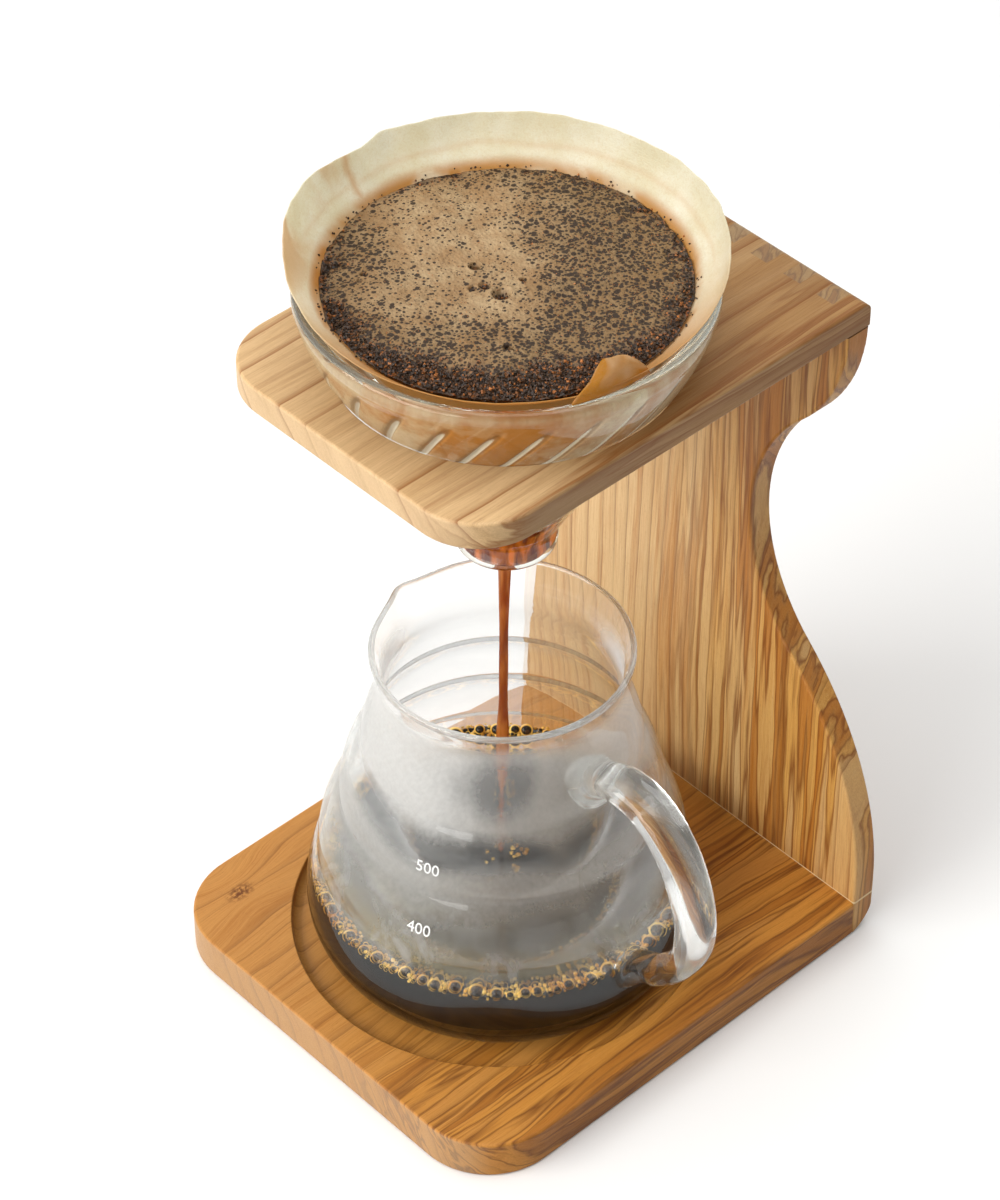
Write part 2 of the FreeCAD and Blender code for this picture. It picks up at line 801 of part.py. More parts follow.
def build_coffee_foam():
    """The band of bubbles that floats at the edge of the coffee."""
    body = new_server_body("coffee_foam")
    skin = cell("server_wall") + cell("seat_gap")
    low_radius, low_height = crease(0)
    run = low_height - cell("belly_height")
    taper = (cell("belly_radius") - low_radius) / run

    def wall_radius(level):
        return cell("belly_radius") - skin - taper * (level - cell("belly_height"))

    foot = cell("coffee_depth") + cell("seat_gap")
    top = foot + cell("foam_height")
    inner = wall_radius(foot) - cell("foam_width")
    ring = [(inner, foot), (wall_radius(foot), foot), (wall_radius(top), top), (inner, top)]
    turn_outline(body, "Revolution", "foam_ring", ring)
    return body


# ---------------------------------------------------------------- build, check and write
server_body, server_mass = build_server_body()
pieces = [
    build_base_board(),
    build_back_panel(),
    build_top_shelf(),
    build_dripper_cone(),
    build_paper_filter(),
    build_coffee_bed(),
    server_body,
    build_server_handle(server_mass),
    build_brewed_coffee(),
    build_coffee_foam(),
]
doc.recompute()
for item in doc.Objects:
    if "Invalid" in item.State or "Error" in item.State:
        raise RuntimeError(f"{item.Name} failed: {item.State}")
for piece in pieces:
    if piece.Shape.isNull() or not piece.Shape.isValid():
        raise RuntimeError(f"{piece.Label} has no valid shape")
os.makedirs("parts", exist_ok=True)
for piece in pieces:
    piece.Shape.exportStep(f"parts/{piece.Label}.step")
    print(piece.Label, len(piece.Shape.Solids), round(piece.Shape.Volume, 1))
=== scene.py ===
import math
import random

import bmesh
import bpy
import numpy as np
from mathutils import Matrix, Vector, noise


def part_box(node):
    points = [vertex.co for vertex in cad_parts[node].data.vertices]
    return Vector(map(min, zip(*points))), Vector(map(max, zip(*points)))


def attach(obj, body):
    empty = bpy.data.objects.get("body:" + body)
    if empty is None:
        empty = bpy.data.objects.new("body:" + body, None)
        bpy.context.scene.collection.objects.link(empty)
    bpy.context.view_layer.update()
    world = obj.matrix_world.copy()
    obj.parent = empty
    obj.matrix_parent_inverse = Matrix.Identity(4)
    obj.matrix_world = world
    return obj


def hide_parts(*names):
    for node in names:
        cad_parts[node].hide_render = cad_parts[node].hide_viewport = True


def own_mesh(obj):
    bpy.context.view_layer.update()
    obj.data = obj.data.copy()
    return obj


# Pour-over coffee stand. Places are in metres; outlines are written in millimetres and multiplied by MM.
MM = 0.001
TURN = 2 * math.pi

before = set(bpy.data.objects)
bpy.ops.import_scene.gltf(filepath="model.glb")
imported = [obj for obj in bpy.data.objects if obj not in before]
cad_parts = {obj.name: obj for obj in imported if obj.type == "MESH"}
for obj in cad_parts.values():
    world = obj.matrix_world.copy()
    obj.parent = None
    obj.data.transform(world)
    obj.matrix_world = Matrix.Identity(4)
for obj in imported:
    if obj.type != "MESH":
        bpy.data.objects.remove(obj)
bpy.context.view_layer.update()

# ---------------------------------------------------------------- places taken from the parts
base_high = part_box("base_board")[1]
shelf_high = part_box("top_shelf")[1]
cone_low, cone_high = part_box("dripper_cone")
paper_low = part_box("paper_filter")[0]
bed_low, bed_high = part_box("coffee_bed")
server_low, server_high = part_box("server_body")
coffee_low, coffee_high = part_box("brewed_coffee")

cone_axis = Vector(((cone_low.x + cone_high.x) / 2, (cone_low.y + cone_high.y) / 2, 0))
server_axis = Vector((0, (coffee_low.y + coffee_high.y) / 2, 0))
BED_TOP = bed_high.z / MM
# direction from the cone's axis to the place where the paper sags over the rim
FRONT = math.radians(-43)

# ---------------------------------------------------------------- node helpers
# sockets of a mix node: first value, second value and result, for colours and for single values
COLOUR_SOCKETS = (6, 7, 2)
VALUE_SOCKETS = (2, 3, 0)
GLASS_INDEX = 1.47


class Shader:
    """A small wrapper that adds linked nodes to one material."""

    def __init__(self, name):
        self.material = bpy.data.materials.new(name)
        self.material.use_nodes = True
        self.tree = self.material.node_tree
        self.tree.nodes.clear()
        self.output = self.tree.nodes.new("ShaderNodeOutputMaterial")
        self.place = self.add("ShaderNodeTexCoord").outputs["Object"]

    def add(self, kind, inputs=None, **settings):
        node = self.tree.nodes.new(kind)
        for key, value in settings.items():
            setattr(node, key, value)
        for key, value in (inputs or {}).items():
            self.feed(node.inputs[key], value)
        return node

    def feed(self, socket, value):
        if isinstance(value, bpy.types.NodeSocket):
            self.tree.links.new(value, socket)
        else:
            socket.default_value = value

    def math(self, operation, first, second=0.0, clamp=False):
        node = self.add("ShaderNodeMath", {0: first, 1: second}, operation=operation, use_clamp=clamp)
        return node.outputs[0]

    def times(self, first, *others):
        """The product of two or more values."""
        for other in others:
            first = self.math("MULTIPLY", first, other)
        return first

    def plus(self, first, second, clamp=False):
        return self.math("ADD", first, second, clamp)

    def minus(self, first, second, clamp=False):
        return self.math("SUBTRACT", first, second, clamp)

    def vector(self, operation, first, second=(0, 0, 0), scale=1.0):
        node = self.add("ShaderNodeVectorMath", {0: first}, operation=operation)
        if operation == "SCALE":
            self.feed(node.inputs["Scale"], scale)
        else:
            self.feed(node.inputs[1], second)
        return node.outputs["Value" if operation in ("LENGTH", "DOT_PRODUCT", "DISTANCE") else "Vector"]

    def split(self, vector):
        return self.add("ShaderNodeSeparateXYZ", {0: vector}).outputs

    def join(self, x, y, z):
        return self.add("ShaderNodeCombineXYZ", {0: x, 1: y, 2: z}).outputs[0]

    def millimetres(self):
        """The place as x, y and z in mm."""
        return self.split(self.vector("SCALE", self.place, scale=1 / MM))

    def attribute(self, name):
        return self.add("ShaderNodeAttribute", attribute_name=name).outputs["Fac"]

    def facing(self, blend):
        """0 where the surface faces the eye, 1 at its outline."""
        return self.add("ShaderNodeLayerWeight", {"Blend": blend}).outputs["Facing"]

    def noise(self, vector, scale, detail=2.0, rough=0.5, distortion=0.0):
        shape = {"Scale": scale, "Detail": detail, "Roughness": rough, "Distortion": distortion}
        return self.add("ShaderNodeTexNoise", {"Vector": vector, **shape}).outputs["Fac"]

    def cells(self, scale, output="Distance"):
        return self.add("ShaderNodeTexVoronoi", {"Vector": self.place, "Scale": scale}).outputs[output]

    def ramp(self, value, stops):
        """stops: (position, colour) in rising order."""
        node = self.add("ShaderNodeValToRGB", {"Fac": value})
        elements = node.color_ramp.elements
        while len(elements) < len(stops):
            elements.new(0.5)
        for element, (position, colour) in zip(elements, stops):
            element.position = position
            element.color = colour
        return node.outputs["Color"]

    def step(self, value, low, high, to_low=0.0, to_high=1.0):
        """Smooth step of value from low to high."""
        inputs = {"Value": value, "From Min": low, "From Max": high, "To Min": to_low, "To Max": to_high}
        return self.add("ShaderNodeMapRange", inputs, interpolation_type="SMOOTHSTEP").outputs["Result"]

    def mix(self, share, first, second, blend="MIX"):
        first_socket, second_socket, result = COLOUR_SOCKETS
        inputs = {"Factor": share, first_socket: first, second_socket: second}
        return self.add("ShaderNodeMix", data_type="RGBA", blend_type=blend, inputs=inputs).outputs[result]

    def bump(self, height, strength, distance):
        inputs = {"Height": height, "Strength": strength, "Distance": distance}
        return self.add("ShaderNodeBump", inputs).outputs["Normal"]

    def principled(self, **inputs):
        named = {key.replace("_", " "): value for key, value in inputs.items()}
        return self.add("ShaderNodeBsdfPrincipled", named).outputs["BSDF"]

    def glass(self, **inputs):
        return self.add("ShaderNodeBsdfGlass", {"IOR": GLASS_INDEX, **inputs}).outputs[0]

    def translucent(self, **inputs):
        return self.add("ShaderNodeBsdfTranslucent", inputs).outputs[0]

    def clear(self, colour=(1, 1, 1, 1)):
        """A surface that light goes straight through."""
        return self.add("ShaderNodeBsdfTransparent", {"Color": colour}).outputs[0]

    def blend(self, share, first, second):
        return self.add("ShaderNodeMixShader", {0: share, 1: first, 2: second}).outputs[0]

    def glowing(self, surface, colour, strength):
        """The surface with a little painted glow: light of its own, added as emission."""
        glow = self.add("ShaderNodeEmission", {"Color": colour, "Strength": strength}).outputs[0]
        return self.add("ShaderNodeAddShader", {0: surface, 1: glow}).outputs[0]

    def done(self, surface):
        self.tree.links.new(surface, self.output.inputs["Surface"])
        return self.material


def srgb(red, green, blue):
    """A colour given as 0 to 255 display values, as linear RGBA."""
    linear = [((c / 255 + 0.055) / 1.055) ** 2.4 if c > 10 else c / 255 / 12.92 for c in (red, green, blue)]
    return (*linear, 1.0)


# ---------------------------------------------------------------- materials
def wood(name, along, colours, shear, bend, tone, bold, lines, streaks, end_shade, seed, glue=None, knot=None):
    """Oiled olive wood, with its grain along one axis. Growth lines cross the end faces at a slant.

    along: the axis of the grain, Y or Z.
    colours: pale, mid, dark and line.
    shear: how far the figure leans from one face of the board to the other.
    bend: how far the figure wanders.
    tone: where pale turns to mid and half the width of that change, in mm, and how much the places
        across and along the board count in it.
    bold: where across the board the bold streaks begin and half the width of that change, in mm.
    lines: spacing in mm, strength and sharpness of the growth lines.
    streaks: strength of the fine streaks.
    end_shade: how much of its brightness the end grain keeps.
    seed: which part of the figure this board shows.
    glue: height in mm of a glue line, if there is one.
    knot: place across the board, place along it and size of a knot in mm, if there is one.
    """
    pale, mid, dark, line = colours
    tone_place, tone_reach, tone_across, tone_along = tone
    bold_place, bold_reach = bold
    spacing, line_strength, sharpness = lines
    s = Shader(name)
    x, y, z = s.millimetres()
    across, grain, depth = (x, y, z) if along == "Y" else (x, z, y)
    shift = (seed * 37.0, seed * 11.0, seed * 5.0)

    def figure(first, across_rate, grain_rate, depth_rate, detail=2.0, rough=0.5):
        """Noise drawn out along the grain."""
        place = s.join(s.times(first, across_rate), s.times(grain, grain_rate), s.times(depth, depth_rate))
        return s.noise(s.vector("ADD", place, shift), 1.0, detail, rough)

    def added(base, value, amount):
        return s.plus(base, s.times(value, amount))

    # u: place across the board, bent the way the figure runs
    drift = s.minus(figure(across, 0.02, 0.006, 0.02, 1.0), 0.5)
    ripple = s.minus(figure(across, 0.08, 0.022, 0.08, 3.0), 0.5)
    u = added(across, depth, shear)
    if knot is not None:
        knot_across, knot_along, knot_size = knot
        beside = s.minus(across, knot_across)
        away = s.vector("LENGTH", s.join(beside, s.times(s.minus(grain, knot_along), 0.55), 0.0))
        swell = s.math("POWER", 2.718, s.times(away, away, -1.0 / knot_size**2))
        u = added(u, s.times(swell, beside), 1.6)
    u = added(added(u, drift, 26.0 * bend), ripple, 6.5 * bend)

    # broad tone
    broad = figure(u, 0.07, 0.003, 0.0, 3.0, 0.6)
    side = added(s.times(across, tone_across), grain, tone_along)
    turned = s.step(side, tone_place - tone_reach, tone_place + tone_reach)
    tint = s.plus(turned, s.times(s.minus(broad, 0.5), 1.6), clamp=True)
    colour = s.mix(tint, pale, mid)

    # soft streaks, then thin ones
    soft = figure(u, 0.32, 0.006, 0.06, 4.0, 0.6)
    thin = figure(u, 1.5, 0.014, 0.5, 4.0, 0.68)
    for streak, low, high, strength, shade in (
        (soft, 0.5, 0.74, 0.7, dark), (soft, 0.46, 0.24, 0.45, pale),
        (thin, 0.5, 0.72, 0.5, dark), (thin, 0.45, 0.26, 0.3, pale),
    ):
        colour = s.mix(s.step(streak, low, high, 0.0, strength * streaks), colour, shade)

    # bold figure in part of the board
    heavy = figure(u, 0.12, 0.004, 0.04, 4.0, 0.45)
    begun = s.step(across, bold_place - bold_reach, bold_place + bold_reach)
    region = s.plus(begun, s.times(drift, 0.9), clamp=True)
    filled = s.times(s.step(heavy, 0.52, 0.56), s.step(heavy, 0.66, 0.6))
    colour = s.mix(s.times(filled, region, 0.7), colour, dark)
    colour = s.mix(s.times(s.step(heavy, 0.47, 0.4), region, 0.45), colour, pale)
    for level in (0.45, 0.53, 0.62):
        ridge = s.minus(1.0, s.math("ABSOLUTE", s.times(s.minus(heavy, level), 40.0)), clamp=True)
        colour = s.mix(s.times(ridge, region, 0.8), colour, line)

    # sharp growth lines: a slow darkening that ends in a hard edge
    phase = s.plus(s.math("DIVIDE", u, spacing), figure(u, 0.03, 0.0, 0.0, 1.0))
    saw = s.math("FRACT", phase)
    edge = s.times(s.math("POWER", saw, sharpness), s.step(saw, 1.0, 0.98))
    place = s.join(s.times(s.math("FLOOR", phase), 3.7), s.times(grain, 0.005), 0.0)
    chosen = s.noise(s.vector("ADD", place, shift), 1.0, 1.0)
    edge = s.times(edge, s.step(chosen, 0.38, 0.5, 0.1, 1.0))
    colour = s.mix(s.times(edge, line_strength), colour, line)

    # fibres and pores, and the dark heart of the knot
    fibre = figure(u, 4.2, 0.09, 3.4, 3.0, 0.7)
    pore = s.noise(s.join(s.times(across, 6.0), s.times(grain, 0.45), s.times(depth, 6.0)), 1.0, 1.0)
    colour = s.mix(s.step(fibre, 0.3, 0.75, 0.0, 0.3), colour, dark, "MULTIPLY")
    colour = s.mix(s.step(pore, 0.62, 0.78, 0.0, 0.35), colour, line)
    if knot is not None:
        heart = s.step(away, knot_size * 0.42, knot_size * 0.12)
        eye = s.noise(s.join(s.times(across, 0.9), s.times(grain, 0.7), 0.0), 1.0, 3.0)
        colour = s.mix(s.times(heart, s.step(eye, 0.35, 0.6)), colour, line)

    # end grain and glue
    facing = s.split(s.add("ShaderNodeNewGeometry").outputs["Normal"])["XYZ".index(along)]
    ends = s.step(s.math("ABSOLUTE", facing), 0.6, 0.9)
    ended = s.mix(0.3, colour, srgb(222, 196, 160))
    ended = s.mix(1.0, ended, (end_shade, end_shade, end_shade, 1), "MULTIPLY")
    colour = s.mix(ends, colour, ended)
    if glue is not None:
        seam = s.times(s.step(grain, glue + 0.55, glue + 0.35), s.step(grain, glue - 0.5, glue - 0.3))
        colour = s.mix(seam, colour, srgb(236, 208, 160))

    rough = s.step(fibre, 0.25, 0.8, 0.38, 0.55)
    normal = s.bump(s.minus(s.times(fibre, 0.6), s.times(pore, 0.5)), 0.25, 0.00035)
    return s.done(s.principled(Base_Color=colour, Roughness=rough, Normal=normal, Specular_IOR_Level=0.3))


def see_through(s, surface, tint):
    """Lets shadow and diffuse rays pass, so that the glass doesn't darken what stands in it."""
    path = s.add("ShaderNodeLightPath").outputs
    passing = s.math("MAXIMUM", path["Is Shadow Ray"], path["Is Diffuse Ray"])
    return s.blend(passing, surface, s.clear(tint))


def clear_glass(name, tint=(0.985, 0.992, 0.988, 1), shadow=(0.93, 0.945, 0.94, 1), ripple=0.0, straight=0.3):
    """Clear glass.

    tint and shadow: the share of light that passes, for the eye and in the shadow. ripple: strength of
    the unevenness of its surface. straight: share of the light that goes through without bending.
    """
    s = Shader(name)
    uneven = {"Normal": s.bump(s.noise(s.place, 55.0, 2.0), ripple, 0.002)} if ripple else {}
    glass = s.glass(Color=tint, Roughness=0.0, **uneven)
    return s.done(see_through(s, s.blend(straight, glass, s.clear(tint)), shadow))


def wetted_glass(name):
    """The ribbed inside of the cone, where soaked paper clings between the ribs; each rib has a painted
    highlight on its crest and painted shade at its feet, and the paper has a painted glow.
    """
    s = Shader(name)
    stain, rib = s.attribute("stain"), s.attribute("rib")
    blot = s.noise(s.place, 120.0, 3.0, 0.6)
    fibre = s.noise(s.place, 800.0, 3.0, 0.7)
    wet = s.plus(stain, s.step(blot, 0.35, 0.65, -0.22, 0.22), clamp=True)
    colour = s.mix(wet, srgb(226, 212, 178), srgb(184, 116, 38))
    colour = s.mix(s.step(fibre, 0.4, 0.75, 0.0, 0.25), colour, srgb(150, 104, 56))
    # painted shade along the feet of each rib
    painted_rib_shade = s.times(s.step(rib, 0.04, 0.3), s.step(rib, 0.8, 0.45), 0.6)
    colour = s.mix(painted_rib_shade, colour, srgb(120, 84, 44))
    # painted highlight along the crest of each rib
    colour = s.mix(s.step(rib, 0.5, 0.8, 0.0, 0.95), colour, srgb(252, 250, 238))
    skin = s.principled(Base_Color=colour, Roughness=0.3, Specular_IOR_Level=0.5)
    # painted glow: the wet paper gives off a little light of its own
    lit = s.glowing(skin, colour, 0.16)
    return s.done(see_through(s, s.blend(0.14, lit, s.clear()), (0.8, 0.76, 0.68, 1)))


# bands of the server's glass where less steam has settled: height, half width in mm and strength
CLEAR_BANDS = ((58.0, 7.0, 0.26), (82.0, 8.0, 0.72))
# a spot of the glass where the steam has run down, in metres
CLEAR_SPOT = (0.027, -0.0236, 0.106)


def fogged_glass(name, level):
    """The inside of the server's wall: steam has condensed on it above the coffee, in bands and clear spots.

    level is the height of the coffee in mm.
    """
    s = Shader(name)
    x, _, z = s.millimetres()
    cloud = s.noise(s.vector("MULTIPLY", s.place, (1.0, 1.0, 0.6)), 24.0, 2.0, 0.5, 0.6)
    patch = s.noise(s.vector("ADD", s.place, (0.3, 0.1, 0.2)), 60.0, 4.0, 0.6, 1.2)
    fine = s.noise(s.place, 620.0, 3.0, 0.7)

    # the fog thickens upwards, and is patchy just above the coffee
    fog = s.step(cloud, 0.3, 0.7, 0.66, 0.86)
    fog = s.plus(fog, s.step(z, level + 12, level + 62, -0.12, 0.16))
    fog = s.plus(fog, s.times(s.step(patch, 0.4, 0.66, -0.34, 0.08), s.step(z, level + 34, level + 8)))
    fog = s.plus(fog, s.step(fine, 0.3, 0.7, -0.07, 0.07))
    wander = s.step(cloud, 0.3, 0.7, -3.0, 3.0)
    for middle, reach, strength in CLEAR_BANDS:
        away = s.math("ABSOLUTE", s.minus(s.plus(z, wander), middle))
        fog = s.minus(fog, s.times(s.step(away, reach, 1.0), strength))
    spot = s.plus(s.vector("DISTANCE", s.place, CLEAR_SPOT), s.step(cloud, 0.3, 0.7, -0.004, 0.004))
    fog = s.minus(fog, s.step(spot, 0.015, 0.004, 0.0, 0.62))
    # it ends below the mouth and above the coffee, and the back of the wall is nearly clear
    fog = s.times(fog, s.step(z, 123.0, 112.0), s.step(x, 8.0, 46.0, 1.0, 0.6))
    fog = s.math("MULTIPLY", fog, s.step(z, level + 3.6, level + 8.0), clamp=True)
    back = s.step(s.vector("DOT_PRODUCT", s.place, (-0.73, 0.68, 0.0)), 0.005, 0.03)
    fog = s.times(fog, s.minus(1.0, s.times(back, 0.92)))

    # yellow just above the coffee, then grey, then white; painted shade makes it darker and browner at the
    # right
    yellow = s.mix(s.step(patch, 0.42, 0.62), (0.5, 0.4, 0.17, 1), (0.6, 0.57, 0.52, 1))
    upper = s.mix(s.step(z, level + 26, level + 62), (0.58, 0.57, 0.55, 1), (0.9, 0.9, 0.9, 1))
    # painted shade on the right side of the fog
    right = s.step(s.vector("DOT_PRODUCT", s.place, (0.96, -0.28, 0.0)), 0.022, 0.05)
    upper = s.mix(right, upper, (0.56, 0.5, 0.44, 1))
    shade = s.mix(s.step(z, level + 6, level + 32), yellow, upper)

    normal = s.bump(s.times(s.plus(s.cells(900.0), fine), fog), 0.15, 0.0003)
    film = s.add("ShaderNodeBsdfDiffuse", {"Color": shade, "Normal": normal}).outputs[0]
    haze = s.blend(0.45, film, s.translucent(Color=shade))
    glass = s.glass(Color=(0.99, 0.99, 0.99, 1), Roughness=s.times(fog, 0.2), Normal=normal)
    return s.done(see_through(s, s.blend(fog, glass, haze), (0.88, 0.89, 0.89, 1)))


def paper_material():
    """Unbleached filter paper: fibrous, translucent, wet and amber where coffee has soaked in, with a little
    painted glow.
    """
    s = Shader("filter_paper")
    x, y, z = s.millimetres()
    fibre = s.noise(s.place, 900.0, 5.0, 0.75, 1.5)
    cloud = s.noise(s.place, 60.0, 4.0, 0.6)
    crepe = s.noise(s.join(s.times(x, 0.5), s.times(y, 0.5), s.times(z, 2.6)), 1.0, 2.0)
    blot = s.noise(s.place, 33.0, 3.0, 0.55, 0.8)

    # soaked in blots at the left, below the top of the bed, and where the mesh says it is wet
    left = s.step(s.vector("DOT_PRODUCT", s.place, (-0.79, -0.61, 0.0)), 0.045, 0.056)
    soak = s.times(s.step(blot, 0.46, 0.62), left, 0.4)
    below = s.times(s.step(z, BED_TOP + 1.8, BED_TOP - 1.2), s.step(blot, 0.4, 0.56, 0.3, 0.9))
    soak = s.math("MAXIMUM", s.math("MAXIMUM", soak, below), s.attribute("wet"))
    dry = s.mix(s.step(cloud, 0.3, 0.7), srgb(242, 237, 214), srgb(250, 248, 234))
    colour = s.mix(soak, dry, srgb(212, 154, 58))
    colour = s.mix(s.step(fibre, 0.4, 0.75, 0.0, 0.3), colour, srgb(214, 188, 132))
    rough = s.step(soak, 0.2, 0.9, 0.85, 0.4)
    normal = s.bump(s.plus(s.times(fibre, 0.7), crepe), 0.35, 0.0005)
    skin = s.principled(Base_Color=colour, Roughness=rough, Normal=normal, Specular_IOR_Level=0.25)
    body = s.blend(0.62, skin, s.translucent(Color=colour, Normal=normal))
    # painted glow brightens the paper
    return s.done(s.glowing(body, colour, 0.05))


def grounds_material():
    """Tan foam in the middle of the bed, wet coarse grounds round it, dark specks all over."""
    s = Shader("wet_grounds")
    foam, many = s.attribute("foam"), s.attribute("speck")
    cloud = s.noise(s.place, 95.0, 4.0, 0.6)
    fine = s.noise(s.place, 700.0, 3.0, 0.7)
    speck, large = s.cells(950.0), s.cells(520.0)
    chance = s.split(s.cells(950.0, "Color"))[0]
    large_chance = s.split(s.cells(520.0, "Color"))[1]

    tan = s.mix(s.step(cloud, 0.3, 0.7), srgb(160, 126, 86), srgb(186, 160, 122))
    tan = s.mix(s.step(fine, 0.35, 0.75, 0.0, 0.4), tan, srgb(128, 90, 54))
    tan = s.mix(s.times(many, 0.75), tan, srgb(112, 84, 46))
    grit = s.mix(s.step(fine, 0.3, 0.7), srgb(40, 26, 16), srgb(92, 66, 44))
    ochre = s.times(s.math("GREATER_THAN", chance, 0.86), 0.75)
    grit = s.mix(ochre, grit, srgb(150, 84, 36))
    colour = s.mix(foam, grit, tan)

    few_small, few_large = s.step(many, 0.0, 1.0, 0.9, 0.05), s.step(many, 0.2, 1.0, 0.98, 0.12)
    small_specks = s.times(s.step(speck, 0.5, 0.34), s.math("GREATER_THAN", chance, few_small))
    large_specks = s.times(s.step(large, 0.5, 0.34), s.math("GREATER_THAN", large_chance, few_large))
    colour = s.mix(s.times(s.math("MAXIMUM", small_specks, large_specks), 0.94), colour, srgb(36, 22, 10))
    rough = s.step(foam, 0.0, 1.0, 0.3, 0.55)
    normal = s.bump(s.plus(speck, s.times(fine, 0.8)), 0.5, 0.0006)
    return s.done(s.principled(Base_Color=colour, Roughness=rough, Normal=normal, Specular_IOR_Level=0.3))


def grain_material():
    """Single wet grounds, from near black to rust."""
    s = Shader("coffee_grains")
    fine = s.noise(s.place, 1500.0, 2.0)
    colour = s.ramp(s.attribute("tone"), [
        (0.0, srgb(24, 14, 6)), (0.55, srgb(56, 34, 16)), (0.85, srgb(124, 76, 36)), (1.0, srgb(184, 112, 52))])
    colour = s.mix(s.step(fine, 0.45, 0.85, 0.0, 0.3), colour, srgb(140, 106, 74))
    normal = s.bump(fine, 0.4, 0.0003)
    return s.done(s.principled(Base_Color=colour, Roughness=0.4, Normal=normal, Specular_IOR_Level=0.35))


def coffee_material():
    """Dark coffee with a faint painted amber glow towards its outline, standing in for light through the thin
    liquid there.
    """
    s = Shader("brewed_coffee")
    amber = srgb(44, 24, 12)
    swirl = s.noise(s.place, 70.0, 2.0)
    # painted light: amber towards the outline of the coffee
    colour = s.mix(s.times(s.step(s.facing(0.35), 0.5, 1.0), 0.05), srgb(8, 6, 5), amber)
    colour = s.mix(s.step(swirl, 0.4, 0.7, 0.0, 0.08), colour, amber)
    return s.done(s.principled(Base_Color=colour, Roughness=0.09, Specular_IOR_Level=0.5))


def amber_liquid(name, deep, bright, lit):
    """Thin running coffee: a painted glow stands in for the amber light it passes, and painted shade darkens it
    towards its outline.
    """
    s = Shader(name)
    wavy = s.noise(s.vector("MULTIPLY", s.place, (420.0, 420.0, 60.0)), 1.0, 2.0)
    colour = s.mix(s.step(wavy, 0.35, 0.7), deep, bright)
    # painted shade: darker towards the outline
    colour = s.mix(s.step(s.facing(0.4), 0.35, 0.9, 0.0, 0.5), colour, deep)
    normal = s.bump(wavy, 0.25, 0.0006)
    skin = s.principled(Base_Color=colour, Roughness=0.06, Normal=normal, Specular_IOR_Level=0.6,
                        Transmission_Weight=0.35, IOR=1.34)
    body = s.blend(0.45, skin, s.translucent(Color=colour))
    # painted glow, of strength lit
    return s.done(s.glowing(body, colour, lit))


def bubble_material():
    """Coffee bubbles: near black in the middle, gold at the rim; the finest froth is gold all over. The gold is
    the film's own colour, brightened by a painted glow, and at the rim also a painted glint.
    """
    s = Shader("bubble_film")
    tint = s.noise(s.place, 160.0, 2.0)
    gold = s.mix(s.step(tint, 0.3, 0.7), srgb(196, 126, 24), srgb(252, 212, 112))
    # gold of the film with a painted glow
    rim = s.glowing(s.principled(Base_Color=gold, Roughness=0.15, Specular_IOR_Level=0.6), gold, 0.22)
    dark = s.principled(Base_Color=srgb(26, 15, 7), Roughness=0.08, Specular_IOR_Level=0.4)
    middle = s.blend(0.25, dark, s.clear((0.72, 0.56, 0.34, 1)))
    # gold towards each bubble's outline: the film's colour and a painted glint
    share = s.math("MAXIMUM", s.step(s.facing(0.5), 0.24, 0.46), s.attribute("gold"))
    return s.done(s.blend(share, middle, rim))


def print_material():
    """White enamel print, slightly worn."""
    s = Shader("white_enamel")
    wear = s.noise(s.place, 900.0, 3.0, 0.7)
    colour = s.mix(s.step(wear, 0.5, 0.8), (0.93, 0.93, 0.92, 1), (0.8, 0.8, 0.79, 1))
    return s.done(s.principled(Base_Color=colour, Roughness=0.45))


# ---------------------------------------------------------------- mesh helpers
def new_piece(
    name, points, faces, material, body, replaces=None, smooth=True, second=None, picks=None
):
    """Adds a mesh that moves with a body.

    second: a second material. picks: 0 or 1 for each face, for the first or the second material.
    """
    mesh = bpy.data.meshes.new(name)
    mesh.from_pydata([tuple(point) for point in points], [], faces)
    mesh.update()
    piece = bpy.data.objects.new(name, mesh)
    bpy.context.scene.collection.objects.link(piece)
    mesh.materials.append(material)
    if second is not None:
        mesh.materials.append(second)
        mesh.polygons.foreach_set("material_index", picks)
    mesh.polygons.foreach_set("use_smooth", [smooth] * len(mesh.polygons))
    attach(piece, body)
    if replaces is not None:
        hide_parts(replaces)
    return piece


def add_attribute(piece, name, values):
    attribute = piece.data.attributes.new(name, "FLOAT", "POINT")
    attribute.data.foreach_set("value", np.asarray(values, np.float32))


def angles(count):
    """Evenly spaced angles round a full turn."""
    return [TURN * step / count for step in range(count)]


def turned_point(axis, radius, height, angle):
    """A point at a radius from an upright axis and a height over the table, both in mm."""
    x, y = axis.x + radius * math.cos(angle) * MM, axis.y + radius * math.sin(angle) * MM
    return Vector((x, y, height * MM))


def band(low, high, count, flip=False):
    """Four-sided faces between two closed rings of points that start at the indices low and high."""
    faces = []
    for step in range(count):
        after = (step + 1) % count
        if flip:
            faces.append((low + step, high + step, high + after, low + after))
        else:
            faces.append((low + step, low + after, high + after, high + step))
    return faces


def turned_mesh(profile, segments, place):
    """Points and faces of a closed surface turned about an axis, and the row of the profile of each face.

    profile runs from the axis below to the axis above; place(radius, height, angle) gives a point.
    """
    points, rings = [], []
    for radius, height in profile:
        if radius < 1e-9:
            rings.append([len(points)])
            points.append(place(0.0, height, 0.0))
        else:
            rings.append(list(range(len(points), len(points) + segments)))
            points += [place(radius, height, angle) for angle in angles(segments)]
    faces, rows = [], []
    for row, (low, high) in enumerate(zip(rings, rings[1:])):
        for step in range(segments):
            after = (step + 1) % segments
            if len(low) == 1:
                faces.append((low[0], high[after], high[step]))
            elif len(high) == 1:
                faces.append((low[step], low[after], high[0]))
            else:
                faces.append((low[step], low[after], high[after], high[step]))
            rows.append(row)
    return points, faces, rows


